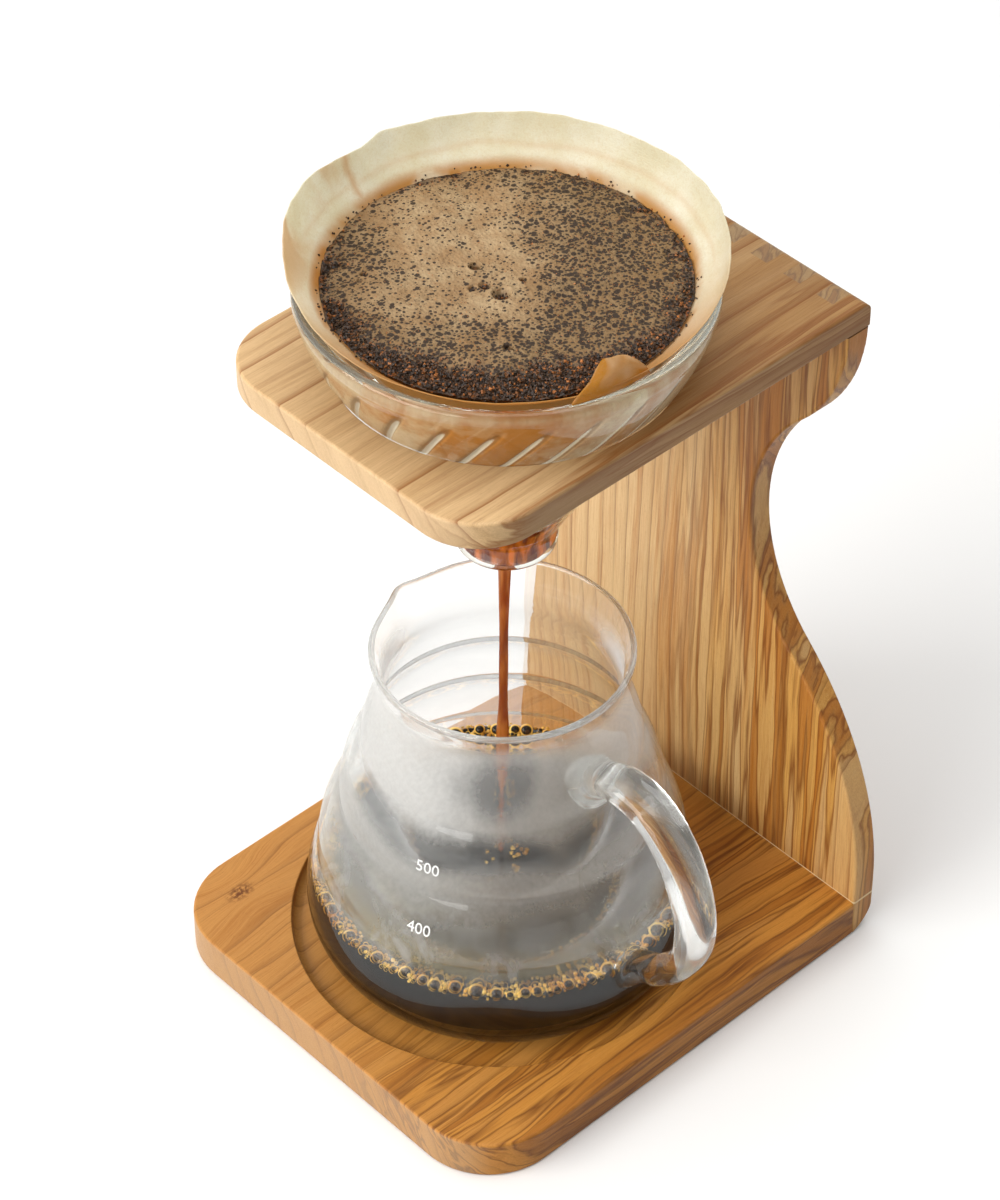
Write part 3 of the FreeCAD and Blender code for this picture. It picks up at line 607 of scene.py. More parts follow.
def arc(start, end, radius, steps=24):
    """Points on the short arc from start to end, without the last. Positive radius bulges outwards going up."""
    (x0, y0), (x1, y1) = start, end
    chord = math.hypot(x1 - x0, y1 - y0)
    reach = math.sqrt(max(radius * radius - chord * chord / 4, 0))
    side = math.copysign(1, radius)
    centre_x = (x0 + x1) / 2 - (y1 - y0) / chord * reach * side
    centre_y = (y0 + y1) / 2 + (x1 - x0) / chord * reach * side
    first = math.atan2(y0 - centre_y, x0 - centre_x)
    turn = math.atan2(y1 - centre_y, x1 - centre_x) - first
    turn = (turn + math.pi) % TURN - math.pi
    size = abs(radius)
    turns = [first + turn * step / steps for step in range(steps)]
    return [(centre_x + size * math.cos(a), centre_y + size * math.sin(a)) for a in turns]


def even(points, spacing):
    """The same open outline with evenly spaced points."""
    path = np.array(points, float)
    along = np.concatenate([[0], np.cumsum(np.linalg.norm(np.diff(path, axis=0), axis=1))])
    places = np.linspace(0, along[-1], max(int(along[-1] / spacing), 2) + 1)
    return np.column_stack([np.interp(places, along, path[:, axis]) for axis in range(path.shape[1])])


def relax(points, passes):
    """Rounds the corners of an open outline and keeps its ends."""
    for _ in range(passes):
        inner = (points[:-2] + points[1:-1] * 2 + points[2:]) / 4
        points = np.vstack([points[:1], inner, points[-1:]])
    return points


def offset(points, distance):
    """The outline moved to its left by distance."""
    run = np.gradient(points, axis=0)
    length = np.linalg.norm(run, axis=1, keepdims=True)
    normal = np.column_stack([-run[:, 1], run[:, 0]]) / length
    return points + normal * distance


def curve_points(points, steps):
    """Catmull-Rom curve through the points."""
    path = np.array(points, float)
    padded = np.vstack([path[0] * 2 - path[1], path, path[-1] * 2 - path[-2]])
    result = []
    for number in range(len(path) - 1):
        before, start, end, after = padded[number:number + 4]
        for step in range(steps):
            t = step / steps
            result.append(
                0.5 * (2 * start + (end - before) * t + (2 * before - 5 * start + 4 * end - after) * t * t
                       + (3 * start - before - 3 * end + after) * t**3)
            )
    result.append(path[-1])
    return np.array(result)


def smooth_step(value, low, high):
    t = min(max((value - low) / (high - low), 0.0), 1.0)
    return t * t * (3 - 2 * t)


def hump(value, middle, width, power=2):
    """A smooth hump of height 1 at the middle; a higher power gives it a flatter top."""
    return math.exp(-(abs(value - middle) / width) ** power)


def wave(x, y=0.0, z=0.0):
    """Smooth noise between about -1 and 1."""
    return noise.noise(Vector((x, y, z)))


def ring_wave(angle, rate, layer=0.0):
    """Smooth noise along a closed ring; each layer is another pattern."""
    return wave(math.cos(angle) * rate, math.sin(angle) * rate, layer)


def bed_wave(x, y, rate, layer):
    """Smooth noise over the bed; each layer is another pattern."""
    return wave(x * rate, y * rate, layer)


# ---------------------------------------------------------------- server: wall, handle, coffee and bubbles
# Heights in this section are in mm above the server's foot.
FOOT = server_low.z / MM
WALL = 2.0
MOUTH_TOP = server_high.z / MM - FOOT
COFFEE_TOP = coffee_high.z / MM - FOOT
NECK = 88
SPOUT_ANGLE = math.radians(187)
HANDLE_ANGLE = math.radians(-2)
PRINT_ANGLE = math.radians(-70)

# outside of the wall: radius and height of each corner, and radius of the arc up to the next
OUTER_CORNERS = (
    ((52.5, 0.0), 20), ((61.3, 17.0), 46), ((57.4, 35.0), 44), ((50.2, 58.0), 44), ((43.0, 81.0), 44),
    ((38.7, 97.0), -30), ((39.9, MOUTH_TOP - 1.1), None),
)
# under the foot: radius and height, from the axis outwards
UNDERSIDE = [(0.0, 1.3), (20.0, 1.25), (40.0, 0.9), (46.5, 0.45), (49.5, 0.05), (51.3, 0.0)]
# middle line of the handle, from the upper weld round to the lower one: radius and height
HANDLE_LINE = (
    (39.4, 89.8), (44.5, 94.8), (52.4, 98.4), (61.7, 98.8), (69.9, 95.4), (76.6, 89.2), (81.2, 81.8),
    (84.4, 73.6), (86.2, 64.5), (85.6, 54.6), (81.4, 44.8), (73.4, 35.8), (64.4, 28.6), (57.2, 23.6),
)


def server_outside():
    path = []
    for (start, bulge), (end, _) in zip(OUTER_CORNERS, OUTER_CORNERS[1:]):
        path += arc(start, end, bulge)
    path.append(OUTER_CORNERS[-1][0])
    path = relax(even(path, 0.45), 2)
    neck = np.nonzero(path[:, 1] > NECK)[0][0]
    path[neck:] = relax(path[neck:], 60)
    return path


outside = server_outside()


def wall_radius(height):
    """Outer radius of the server."""
    return float(np.interp(height, outside[:, 1], outside[:, 0]))


def server_profile():
    """The whole section of the wall, from the axis under the foot round to the axis on the floor."""
    inside = offset(outside, WALL)[::-1]
    inside = inside[inside[:, 1] > 13.0]
    corner = arc((44.0, 4.3), tuple(inside[-1]), 15.5, 12)[::-1]
    lip_centre = (outside[-1] + inside[0]) / 2
    lip_size = WALL / 2
    lip = [
        (lip_centre[0] + lip_size * math.cos(a), lip_centre[1] + lip_size * math.sin(a))
        for a in np.linspace(0, math.pi, 11)[1:-1]
    ]
    floor = [(30.0, 4.2), (15.0, 4.1), (0.0, 4.0)]
    outer_part = UNDERSIDE + [tuple(p) for p in outside[1:]] + lip
    return outer_part + [tuple(p) for p in inside] + corner + floor, len(outer_part)


def around_server(radius, height, angle):
    return turned_point(server_axis, radius, FOOT + height, angle)


def server_point(radius, height, angle):
    """A point of the server's wall, with the pouring lip pulled out of the mouth at one side."""
    if radius <= 30:
        return around_server(radius, height, angle)
    turn = (angle - SPOUT_ANGLE + math.pi) % TURN - math.pi
    rise = smooth_step(height, MOUTH_TOP - 22, MOUTH_TOP)
    pull = hump(turn, 0.0, 0.12 + 0.08 * (1 - rise)) * rise**2 * 1.7
    pinch = hump(abs(turn), 0.34, 0.16) * rise**2 * 0.35
    return around_server(radius + pull - pinch, height, angle)


def build_server():
    profile, inner_start = server_profile()
    points, faces, rows = turned_mesh(profile, 192, server_point)
    fogged = [int(row >= inner_start) for row in rows]
    new_piece("server_glass_body", points, faces, clear_glass("server_glass"), "server",
              "server_body", second=fogged_glass("steamed_glass", coffee_high.z / MM), picks=fogged)


def build_handle():
    """A flattened glass bar bent to a D, with a swollen weld at each end."""
    spacing, around = 1.3, 40
    path = relax(even(curve_points(HANDLE_LINE, 6), spacing), 6)
    run = np.gradient(path, axis=0)
    run /= np.linalg.norm(run, axis=1, keepdims=True)
    total = len(path) - 1
    points = []
    for number, ((reach, height), (along_x, along_z)) in enumerate(zip(path, run)):
        share = number / total
        from_top, from_foot = share * total * spacing, (1 - share) * total * spacing
        upper_weld, lower_weld = hump(from_top, 0.0, 4.2), hump(from_foot, 0.0, 5.0)
        neck, fold = hump(from_top, 10.5, 3.2), hump(from_foot, 13, 7)
        half_wide = 7.0 + 1.6 * upper_weld - 0.9 * neck + 0.6 * lower_weld - 1.2 * fold
        half_deep = 4.75 + 3.4 * upper_weld - 0.35 * neck + 1.6 * lower_weld
        twist = 0.5 * fold
        for turn in angles(around):
            # a flattened section, fuller than an ellipse, with soft dents near the lower weld
            side = math.copysign(abs(math.cos(turn)) ** 0.86, math.cos(turn)) * half_wide
            deep = math.copysign(abs(math.sin(turn)) ** 0.92, math.sin(turn)) * half_deep
            dent = 1 + 0.13 * fold * math.sin(3 * turn + share * 40) + 0.03 * wave(share * 9, turn, 3.1)
            side, deep = side * dent, deep * dent
            side, deep = (side * math.cos(twist) - deep * math.sin(twist),
                          side * math.sin(twist) + deep * math.cos(twist))
            local = Vector((reach - along_z * deep, side, height + along_x * deep))
            x = local.x * math.cos(HANDLE_ANGLE) - local.y * math.sin(HANDLE_ANGLE)
            y = local.x * math.sin(HANDLE_ANGLE) + local.y * math.cos(HANDLE_ANGLE)
            points.append(Vector((server_axis.x + x * MM, server_axis.y + y * MM, (FOOT + local.z) * MM)))
    faces = []
    for number in range(total):
        faces += band(number * around, (number + 1) * around, around)
    faces.append(tuple(reversed(range(around))))
    faces.append(tuple(range(total * around, (total + 1) * around)))
    glass = clear_glass("handle_glass", ripple=0.05, straight=0.1)
    new_piece("server_glass_handle", points, faces, glass, "server", "server_handle")


def build_coffee():
    """Coffee that wets the glass: it reaches a hair into the wall, and climbs it at the edge."""
    climb, wetting = 0.9, 0.18
    profile, inner_start = server_profile()
    inner = [point for point in profile[inner_start:] if point[1] < COFFEE_TOP + climb]
    below = [
        (radius + wetting if radius > 0.01 else 0.0, height - wetting * 0.6)
        for radius, height in reversed(inner)
    ]
    edge = below[-1][0]
    # the surface: radius and rise over its level, down to the dimple where the stream lands
    top = [(edge - 0.8, 0.35), (edge - 1.8, 0.1), (edge - 3.5, 0.0), (edge * 0.75, 0.0), (edge * 0.5, 0.0),
           (edge * 0.25, 0.0), (8.0, -0.1), (4.0, -0.5), (2.0, -0.2), (0.0, 0.0)]
    outline = below + [(radius, COFFEE_TOP + rise) for radius, rise in top]
    points, faces, _ = turned_mesh(outline, 128, around_server)
    new_piece("coffee_in_server", points, faces, coffee_material(), "server", "brewed_coffee")


def add_ball(points, faces, centre, size, flatten, rings, sectors):
    """One closed bubble."""
    start = len(points)
    points.append(Vector((centre[0], centre[1], centre[2] - size * flatten)))
    for ring in range(1, rings):
        tilt = -math.pi / 2 + math.pi * ring / rings
        for turn in angles(sectors):
            points.append(Vector((
                centre[0] + size * math.cos(tilt) * math.cos(turn),
                centre[1] + size * math.cos(tilt) * math.sin(turn),
                centre[2] + size * flatten * math.sin(tilt),
            )))
    points.append(Vector((centre[0], centre[1], centre[2] + size * flatten)))
    last = len(points) - 1
    for ring in range(rings - 2):
        faces += band(start + 1 + ring * sectors, start + 1 + (ring + 1) * sectors, sectors)
    top = start + 1 + (rings - 2) * sectors
    for sector in range(sectors):
        after = (sector + 1) % sectors
        faces.append((start, start + 1 + after, start + 1 + sector))
        faces.append((top + sector, top + after, last))


def free_spot(placed, first, second, size, closeness):
    """True if a bubble of this size keeps clear of those already placed; then it is counted as placed."""
    for other_first, other_second, other_size in placed:
        if (first - other_first) ** 2 + (second - other_second) ** 2 < ((size + other_size) * closeness) ** 2:
            return False
    placed.append((first, second, size))
    return True


# bubbles of the chain: radius in mm and how many places are tried
CHAIN = ((2.7, 16), (2.2, 36), (1.8, 80), (1.4, 160), (1.1, 320), (0.85, 500))
SMALL_BUBBLE = 0.8


def build_bubbles():
    """The chain of bubbles that clings to the glass, froth behind it, and rafts where the stream lands."""
    rng = random.Random(7)
    level = FOOT + COFFEE_TOP
    edge = wall_radius(COFFEE_TOP) - WALL
    girth = TURN * edge
    pressed = 0.42
    chain = []
    for size, tries in CHAIN:
        for _ in range(tries):
            along, rise = rng.uniform(0, girth), rng.uniform(-0.15, 0.55) * size
            free_spot(chain, along, rise, size, 0.94)
    for _ in range(3600):
        size, along = rng.uniform(0.38, 0.72), rng.uniform(0, girth)
        free_spot(chain, along, rng.uniform(-0.3, 2.0), size, 0.84)
    balls = []
    for along, rise, size in chain:
        radius = wall_radius(COFFEE_TOP + rise) - WALL + pressed - size
        balls.append((radius * math.cos(along / edge), radius * math.sin(along / edge), level + rise, size))
    floating = []
    for _ in range(3000):
        size = rng.uniform(0.45, 0.85)
        angle, radius = rng.uniform(0, TURN), edge - 1.2 - size - abs(rng.gauss(0, 1.3))
        free_spot(floating, radius * math.cos(angle), radius * math.sin(angle), size, 0.86)
    for _ in range(24):
        size = rng.uniform(0.4, 0.9)
        angle, radius = rng.uniform(0, TURN), 3.0 + abs(rng.gauss(0, 2.5))
        free_spot(floating, radius * math.cos(angle), radius * math.sin(angle), size, 0.86)
    balls += [(x, y, level + size * 0.25, size) for x, y, size in floating]
    points, faces, gold = [], [], []
    for x, y, height, size in balls:
        centre = (server_axis.x + x * MM, server_axis.y + y * MM, height * MM)
        small = size < SMALL_BUBBLE
        rings, sectors = (5, 8) if small else (9, 16)
        add_ball(points, faces, centre, size * MM, 0.85, rings, sectors)
        gold += [rng.uniform(0.35, 1.0) if small else 0.0] * (len(points) - len(gold))
    piece = new_piece("coffee_bubbles", points, faces, bubble_material(), "server", "coffee_foam")
    add_attribute(piece, "gold", gold)


def flat_number(name, words):
    """Points and triangles of a written number, and its border edges in the direction of their triangles."""
    text = bpy.data.curves.new(name, "FONT")
    text.body = words
    text.size = 5.3
    text.resolution_u = 3
    holder = bpy.data.objects.new(name, text)
    bpy.context.scene.collection.objects.link(holder)
    bpy.context.view_layer.update()
    flat = bpy.data.meshes.new_from_object(holder.evaluated_get(bpy.context.evaluated_depsgraph_get()))
    bpy.data.objects.remove(holder)
    solid = bmesh.new()
    solid.from_mesh(flat)
    bmesh.ops.subdivide_edges(solid, edges=[e for e in solid.edges if e.calc_length() > 0.8], cuts=2)
    bmesh.ops.triangulate(solid, faces=solid.faces[:])
    solid.verts.index_update()
    points = [vertex.co.copy() for vertex in solid.verts]
    triangles = [tuple(vertex.index for vertex in face.verts) for face in solid.faces]
    corners = [edge.link_loops[0] for edge in solid.edges if len(edge.link_faces) == 1]
    border = [(corner.vert.index, corner.link_loop_next.vert.index) for corner in corners]
    solid.free()
    return points, triangles, border


def build_print():
    """Volume marks on the glass: two thin white numbers that follow its curve."""
    material = print_material()
    for words, height in (("400", 45.2), ("500", 65.2)):
        name = "volume_mark_" + words
        flat, triangles, border = flat_number(name, words)
        middle = (min(p.x for p in flat) + max(p.x for p in flat)) / 2
        points = []
        for layer in (0.1, -0.02):
            for point in flat:
                radius = wall_radius(height + point.y)
                turn = PRINT_ANGLE + (point.x - middle) / radius
                points.append(around_server(radius + layer, height + point.y, turn))
        count = len(flat)
        faces = triangles + [tuple(count + index for index in reversed(face)) for face in triangles]
        faces += [(second, first, count + first, count + second) for first, second in border]
        new_piece(name, points, faces, material, "server", smooth=False)


# ---------------------------------------------------------------- dripper: ribbed glass cone
# Heights in this section are in mm above the cone's outlet.
OUTLET = cone_low.z / MM
CONE_HEIGHT = cone_high.z / MM - OUTLET
SEAT = shelf_high.z / MM - OUTLET
BORE_LENGTH = 16.0
BORE_RADIUS = 10.0
RIBS = 24
RIB_PITCH = 418.0
RIB_SIZE = 3.3


def cone_point(radius, height, angle):
    return turned_point(cone_axis, radius, OUTLET + height, angle)


def front_turn(angle):
    """Angle from the sagging front of the paper, between -pi and pi."""
    return (angle - FRONT + math.pi) % TURN - math.pi


def cone_profiles():
    """Outside and inside outlines of the cone."""
    rim = (cone_high.x - cone_axis.x) / MM
    seat = (50.5, SEAT)
    collar = arc((13.0, 0.2), (15.2, 2.4), 2.2, 6) + [(15.2, 5.0), (15.0, 8.2), (15.3, 9.6)]
    flank = [(16.4, 10.8), (27.0, 29.4), (40.0, 52.6), seat]
    bowl = arc(seat, (rim - 0.5, CONE_HEIGHT - 5.4), 60, 14)
    # the bead round the rim: how far in from its radius and how far down from the top
    bead = [(rim - inwards, CONE_HEIGHT - down) for inwards, down in (
        (0.45, 5.0), (0.1, 4.4), (0, 3.4), (0, 1.7), (0.35, 0.75), (1.1, 0.15), (2.0, 0))]
    low = relax(even(collar + flank, 0.9), 3)
    high = relax(even(bowl + bead, 0.55), 2)
    outside_line = [(10.6, 0.0), (12.0, 0.0)] + [tuple(p) for p in low[:-1]] + [tuple(p) for p in high]
    mouth = rim - 3.6
    slope = (mouth - BORE_RADIUS) / (CONE_HEIGHT - BORE_LENGTH)
    inside_line = [(mouth + 0.35, CONE_HEIGHT - 0.25), (mouth, CONE_HEIGHT - 0.9)]
    height = CONE_HEIGHT - 1.6
    while height > BORE_LENGTH:
        inside_line.append((BORE_RADIUS + slope * (height - BORE_LENGTH), height))
        height -= 0.8
    inside_line += [
        (BORE_RADIUS, BORE_LENGTH), (9.9, BORE_LENGTH * 0.66), (9.9, BORE_LENGTH * 0.33), (BORE_RADIUS, 0.5),
    ]
    return outside_line, inside_line


def rib_number(height, angle):
    """Which rib stands at this height and angle; between two ribs it is a fraction."""
    return (angle / TURN - (height - BORE_LENGTH) / RIB_PITCH) * RIBS


def rib_height(height, angle):
    """How far the inside wall stands in at this height and angle; every second rib starts higher up."""
    level = height - BORE_LENGTH
    share = rib_number(height, angle)
    number = round(share)
    start = 1.0 if number % 2 == 0 else 30.0
    along = smooth_step(level, start - 1.0, start + 5.0) * (1 - smooth_step(level, 64.0, 71.5))
    radius = BORE_RADIUS + (level / (CONE_HEIGHT - BORE_LENGTH)) * 45.6
    away = abs(share - number) / RIBS * TURN * radius
    return RIB_SIZE * along * (1 - smooth_step(away, 0.5, 1.6))


def stain_share(height, angle):
    """How strongly coffee stains the paper that clings between two ribs."""
    number = math.floor(rib_number(height, angle))
    share = 0.34 + 0.56 * hump(front_turn(angle), -0.05, 0.8) + 0.6 * wave(number * 1.7, 0.3, 9.0)
    return min(max(share * (1 - 0.75 * smooth_step(height, CONE_HEIGHT - 8.5, CONE_HEIGHT - 3.5)), 0.0), 1.0)


def build_cone():
    segments = 720
    outside_line, inside_line = cone_profiles()
    profile = outside_line + inside_line
    inner_start = len(outside_line)
    points, stain, rib = [], [], []
    for row, (radius, height) in enumerate(profile):
        for angle in angles(segments):
            ribbed = rib_height(height, angle) if row >= inner_start and height > BORE_LENGTH else 0.0
            points.append(cone_point(radius - ribbed, height, angle))
            stain.append(stain_share(height, angle))
            rib.append(ribbed / RIB_SIZE)
    faces, wetted = [], []
    rows = len(profile)
    for row in range(rows):
        following = (row + 1) % rows
        above_shelf = row >= inner_start and min(profile[row][1], profile[following][1]) > SEAT - 4.0
        faces += band(row * segments, following * segments, segments)
        wetted += [int(above_shelf)] * segments
    glass = clear_glass("dripper_glass", (0.975, 0.98, 0.95, 1), (0.94, 0.945, 0.92, 1), 0.02, 0.08)
    piece = new_piece("ribbed_glass_cone", points, faces, glass, "dripper", "dripper_cone",
                      second=wetted_glass("wetted_glass"), picks=wetted)
    add_attribute(piece, "stain", stain)
    add_attribute(piece, "rib", rib)


# ---------------------------------------------------------------- paper filter
PAPER_THICKNESS = 0.4
# Section of the paper above the ribs: it opens out over the glass rim and then stands up. Radius, height in mm.
PAPER_FLARE = (
    (49.9, 259.5), (52.0, 262.1), (54.6, 264.4), (57.2, 266.6), (59.2, 269.4), (60.6, 273.2), (61.5, 278.5),
)


def paper_line():
    """The paper's section from its tip to its highest edge, evenly spaced."""
    tip = paper_low.z / MM + 0.4
    path = [(1.2, tip), (47.9, 256.0)] + list(PAPER_FLARE)
    return relax(even(path, 0.9), 3)


def edge_share(angle):
    """How far up the section the paper reaches: to the end at the back, and barely over the rim in front."""
    turn = front_turn(angle)
    ripple = 0.006 * ring_wave(angle, 2.6, 1.7) + 0.004 * ring_wave(angle, 8, 5.1)
    return min(0.972 - 0.091 * hump(turn, -0.05, 1.2, 4) + ripple + 0.012 * hump(turn, -1.7, 0.6), 1.0)


def paper_wetness(point):
    """Wet at the front, along the seam, and in a thin line round the rim."""
    angle = math.atan2(point.y - cone_axis.y, point.x - cone_axis.x)
    front = 0.9 * hump(front_turn(angle), 0.1, 1.2, 4)
    seam = 0.45 * hump(math.degrees(angle) % 360 - 186, 1.5 * wave(point.z * 200, 1, 1), 1.1)
    line = 0.16 * hump(point.z / MM - 267.2, 0.8 * ring_wave(angle, 4), 0.7)
    return max(front, seam, line)


def build_paper():
    segments, levels = 360, 90
    line = paper_line()
    along = np.linspace(0, 1, len(line))
    outer, inner = [], []
    for level in range(levels + 1):
        share = 1 - (1 - level / levels) ** 1.5
        for angle in angles(segments):
            place = share * edge_share(angle)
            radius = float(np.interp(place, along, line[:, 0]))
            height = float(np.interp(place, along, line[:, 1]))
            above = smooth_step(height, 260.0, 272.0)
            seam = math.degrees(angle)
            crease = 0.7 * above * ring_wave(angle, 4, height * 0.05)
            crease += 0.3 * above * ring_wave(angle, 15, height * 0.12)
            crease += above * (1.5 * hump(seam, 171, 4.5) - 1.5 * hump(seam, 182, 5.0))
            crease += hump(front_turn(angle), 0.0, 1.15, 4) * 0.8 * smooth_step(height, 258.0, 263.0)
            outer.append(cone_point(radius + crease, height - OUTLET, angle))
            thinned = max(radius + crease - PAPER_THICKNESS, 0.5)
            inner.append(cone_point(thinned, height - OUTLET + 0.1 * above, angle))
    count = len(outer)
    points = outer + inner
    faces = []
    for level in range(levels):
        low, high = level * segments, (level + 1) * segments
        faces += band(low, high, segments) + band(count + high, count + low, segments)
    top = levels * segments
    faces += band(top, count + top, segments)
    faces.append(tuple(reversed(range(segments))))
    faces.append(tuple(range(count, count + segments)))
    piece = new_piece("paper_cone", points, faces, paper, "filter", "paper_filter")
    add_attribute(piece, "wet", [paper_wetness(point) for point in points])


def build_paper_tab():
    """A soaked fold of the paper's edge that stands up across the rim and curls in over the grounds."""
    rows, columns = 26, 36
    points, wet = [], []
    for layer in (0.0, 1.0):
        for row in range(rows + 1):
            for column in range(columns + 1):
                side = column / columns
                wet.append(0.92 + 0.2 * wave(side * 5, row * 0.12, 2.0) + 0.4 * hump(side, 0.12, 0.1)
                           - 0.2 * row / rows)
                up = row / rows * (1 - 0.3 * abs(2 * side - 1) ** 5)
                low_angle, high_angle = -26.0 + 25.0 * side, -15.5 + 9.0 * side
                angle = low_angle + (high_angle - low_angle) * smooth_step(up, -0.1, 1.0)
                low_radius, high_radius = 57.6 - 0.6 * side, 50.0 + 7.6 * side
                radius = low_radius + (high_radius - low_radius) * up
                radius += 1.6 * math.sin(math.pi * up) * (1 - side) + 1.1 * math.sin(5.0 * side + 0.6) * up
                height = 263.6 + 0.9 * side + 9.6 * up - 1.3 * up**4
                height += 0.3 * wave(side * 4.4, up * 3, 1.0)
                radius -= layer * PAPER_THICKNESS * 0.8
                height += layer * PAPER_THICKNESS * 0.6
                points.append(cone_point(radius, height - OUTLET, math.radians(angle)))
    width = columns + 1
    count = (rows + 1) * width
    faces = []
    for row in range(rows):
        for column in range(columns):
            first = row * width + column
            quad = (first, first + 1, first + width + 1, first + width)
            faces.append(quad)
            faces.append(tuple(count + index for index in reversed(quad)))
    border = list(range(width))
    border += [row * width + columns for row in range(1, rows + 1)]
    border += [rows * width + column for column in range(columns - 1, -1, -1)]
    border += [row * width for row in range(rows - 1, 0, -1)]
    for index, after in zip(border, border[1:] + border[:1]):
        faces.append((after, index, count + index, count + after))
    piece = new_piece("paper_seam_tab", points, faces, paper, "filter")
    add_attribute(piece, "wet", wet)


# ---------------------------------------------------------------- coffee bed
# Burst bubbles and the place where the water lands: x, y, radius and depth in mm.
CRATERS = (
    (-9.5, -3.0, 1.5, 1.9), (-28.0, -27.5, 0.95, 1.0), (4.0, 2.5, 1.0, 0.9), (22.5, -20.5, 1.35, 1.4),
    (4.5, -6.0, 2.3, 1.8), (-26.5, -30.0, 0.8, 0.8), (-1.5, -6.5, 1.7, 0.7), (-3.0, -10.0, 1.1, 0.6),
)
# the bed's surface waves about a level this far below its highest place, in mm
BED_SINK = 0.4


def bed_edge(angle):
    return 51.4 + 0.55 * ring_wave(angle, 4, 9.0) + 0.25 * ring_wave(angle, 13, 2.0)


def to_viewer(x, y):
    """The same place as distances to the right and towards the front of the cone."""
    right = FRONT + math.pi / 2
    return x * math.cos(right) + y * math.sin(right), x * math.cos(FRONT) + y * math.sin(FRONT)


def foam_share(x, y):
    """1 in the foam in the middle of the bed, 0 in the bare grounds at its edge and in the burst bubbles."""
    turn = front_turn(math.atan2(y, x))
    reach = 51.5 - 12.0 * hump(turn, 0.0, 0.85, 4) - 4.0 * hump(turn, 1.35, 0.6)
    reach -= 5.0 * hump(turn, -1.3, 0.5)
    reach += 5.0 * bed_wave(x, y, 0.05, 4.0)
    share = 1 - smooth_step(math.hypot(x, y) + 4.5 * bed_wave(x, y, 0.2, 8.0), reach - 5, reach + 4)
    for crater_x, crater_y, size, _ in CRATERS:
        away = math.hypot(x - crater_x, y - crater_y) / size
        share *= 1 - 0.95 * math.exp(-(away * 1.15) ** 4)
    return share


def speck_share(x, y):
    """How thickly dark specks lie on the foam: few in the middle, many to the right and in front."""
    right, front = to_viewer(x, y)
    share = 0.26 + 0.95 * smooth_step(right, -4, 30) + 0.55 * smooth_step(front, 2, 32)
    share += 0.5 * smooth_step(-right, 24, 46)
    share += 0.3 * smooth_step(-front, 30, 48)
    share += 0.32 * bed_wave(x, y, 0.07, 2.0) + 0.14 * bed_wave(x, y, 0.3, 3.0)
    return min(max(share, 0.0), 1.0)


def bed_height(x, y):
    """Height of the bed's surface over its nominal level, in mm."""
    share = foam_share(x, y)
    height = 0.5 * share + 0.7 * bed_wave(x, y, 0.05, 0.3) + 0.22 * bed_wave(x, y, 0.25, 1.0)
    height += (1 - share) * (0.45 * bed_wave(x, y, 0.9, 2.0) + 0.35 * bed_wave(x, y, 1.9, 3.0))
    height += 0.06 * bed_wave(x, y, 2.4, 6.0)
    height += speck_share(x, y) * (0.5 * bed_wave(x, y, 0.13, 5.0) + 0.25 * bed_wave(x, y, 0.5, 5.5))
    height -= 0.9 * smooth_step(math.hypot(x, y), 34, 51)
    for crater_x, crater_y, size, depth in CRATERS:
        away = math.hypot(x - crater_x, y - crater_y) / size
        height -= depth * math.exp(-away**4)
        height += 0.22 * depth * math.exp(-((away - 1.4) * 3) ** 2)
    return height


def build_bed():
    segments, rings = 480, 170
    level = BED_TOP - OUTLET - BED_SINK
    points = [cone_point(0, level + bed_height(0, 0), 0)]
    foam = [foam_share(0, 0)]
    speck = [speck_share(0, 0)]
    for ring in range(1, rings + 1):
        for angle in angles(segments):
            radius = bed_edge(angle) * ring / rings
            x, y = radius * math.cos(angle), radius * math.sin(angle)
            points.append(cone_point(radius, level + bed_height(x, y), angle))
            foam.append(foam_share(x, y))
            speck.append(speck_share(x, y))
    faces = [(0, 1 + step, 1 + (step + 1) % segments) for step in range(segments)]
    for ring in range(rings - 1):
        faces += band(1 + ring * segments, 1 + (ring + 1) * segments, segments, flip=True)
    # the heap below follows the paper down to its tip
    tip = bed_low.z / MM - OUTLET
    tip_radius, heap_radius = 1.6, 49.4
    previous = 1 + (rings - 1) * segments
    for share in (0.97, 0.8, 0.6, 0.4, 0.2, 0.0):
        start = len(points)
        height = tip + (level - 2.5 - tip) * share
        radius = tip_radius + (heap_radius - tip_radius) * share
        points += [cone_point(radius, height, angle) for angle in angles(segments)]
        foam += [0.0] * segments
        speck += [1.0] * segments
        faces += band(previous, start, segments, flip=True)
        previous = start
    faces.append(tuple(reversed(range(previous, previous + segments))))
    material = grounds_material()
    piece = new_piece("coffee_bed_surface", points, faces, material, "filter", "coffee_bed")
    add_attribute(piece, "foam", foam)
    add_attribute(piece, "speck", speck)


GRAIN_CORNERS = ((1, 0, 0), (-1, 0, 0), (0, 1, 0), (0, -1, 0), (0, 0, 1), (0, 0, -1))
GRAIN_SIDES = ((0, 2, 4), (2, 1, 4), (1, 3, 4), (3, 0, 4), (2, 0, 5), (1, 2, 5), (3, 1, 5), (0, 3, 5))
GRAINS_ON_BED = 12001
GRAINS_ON_PAPER = 109


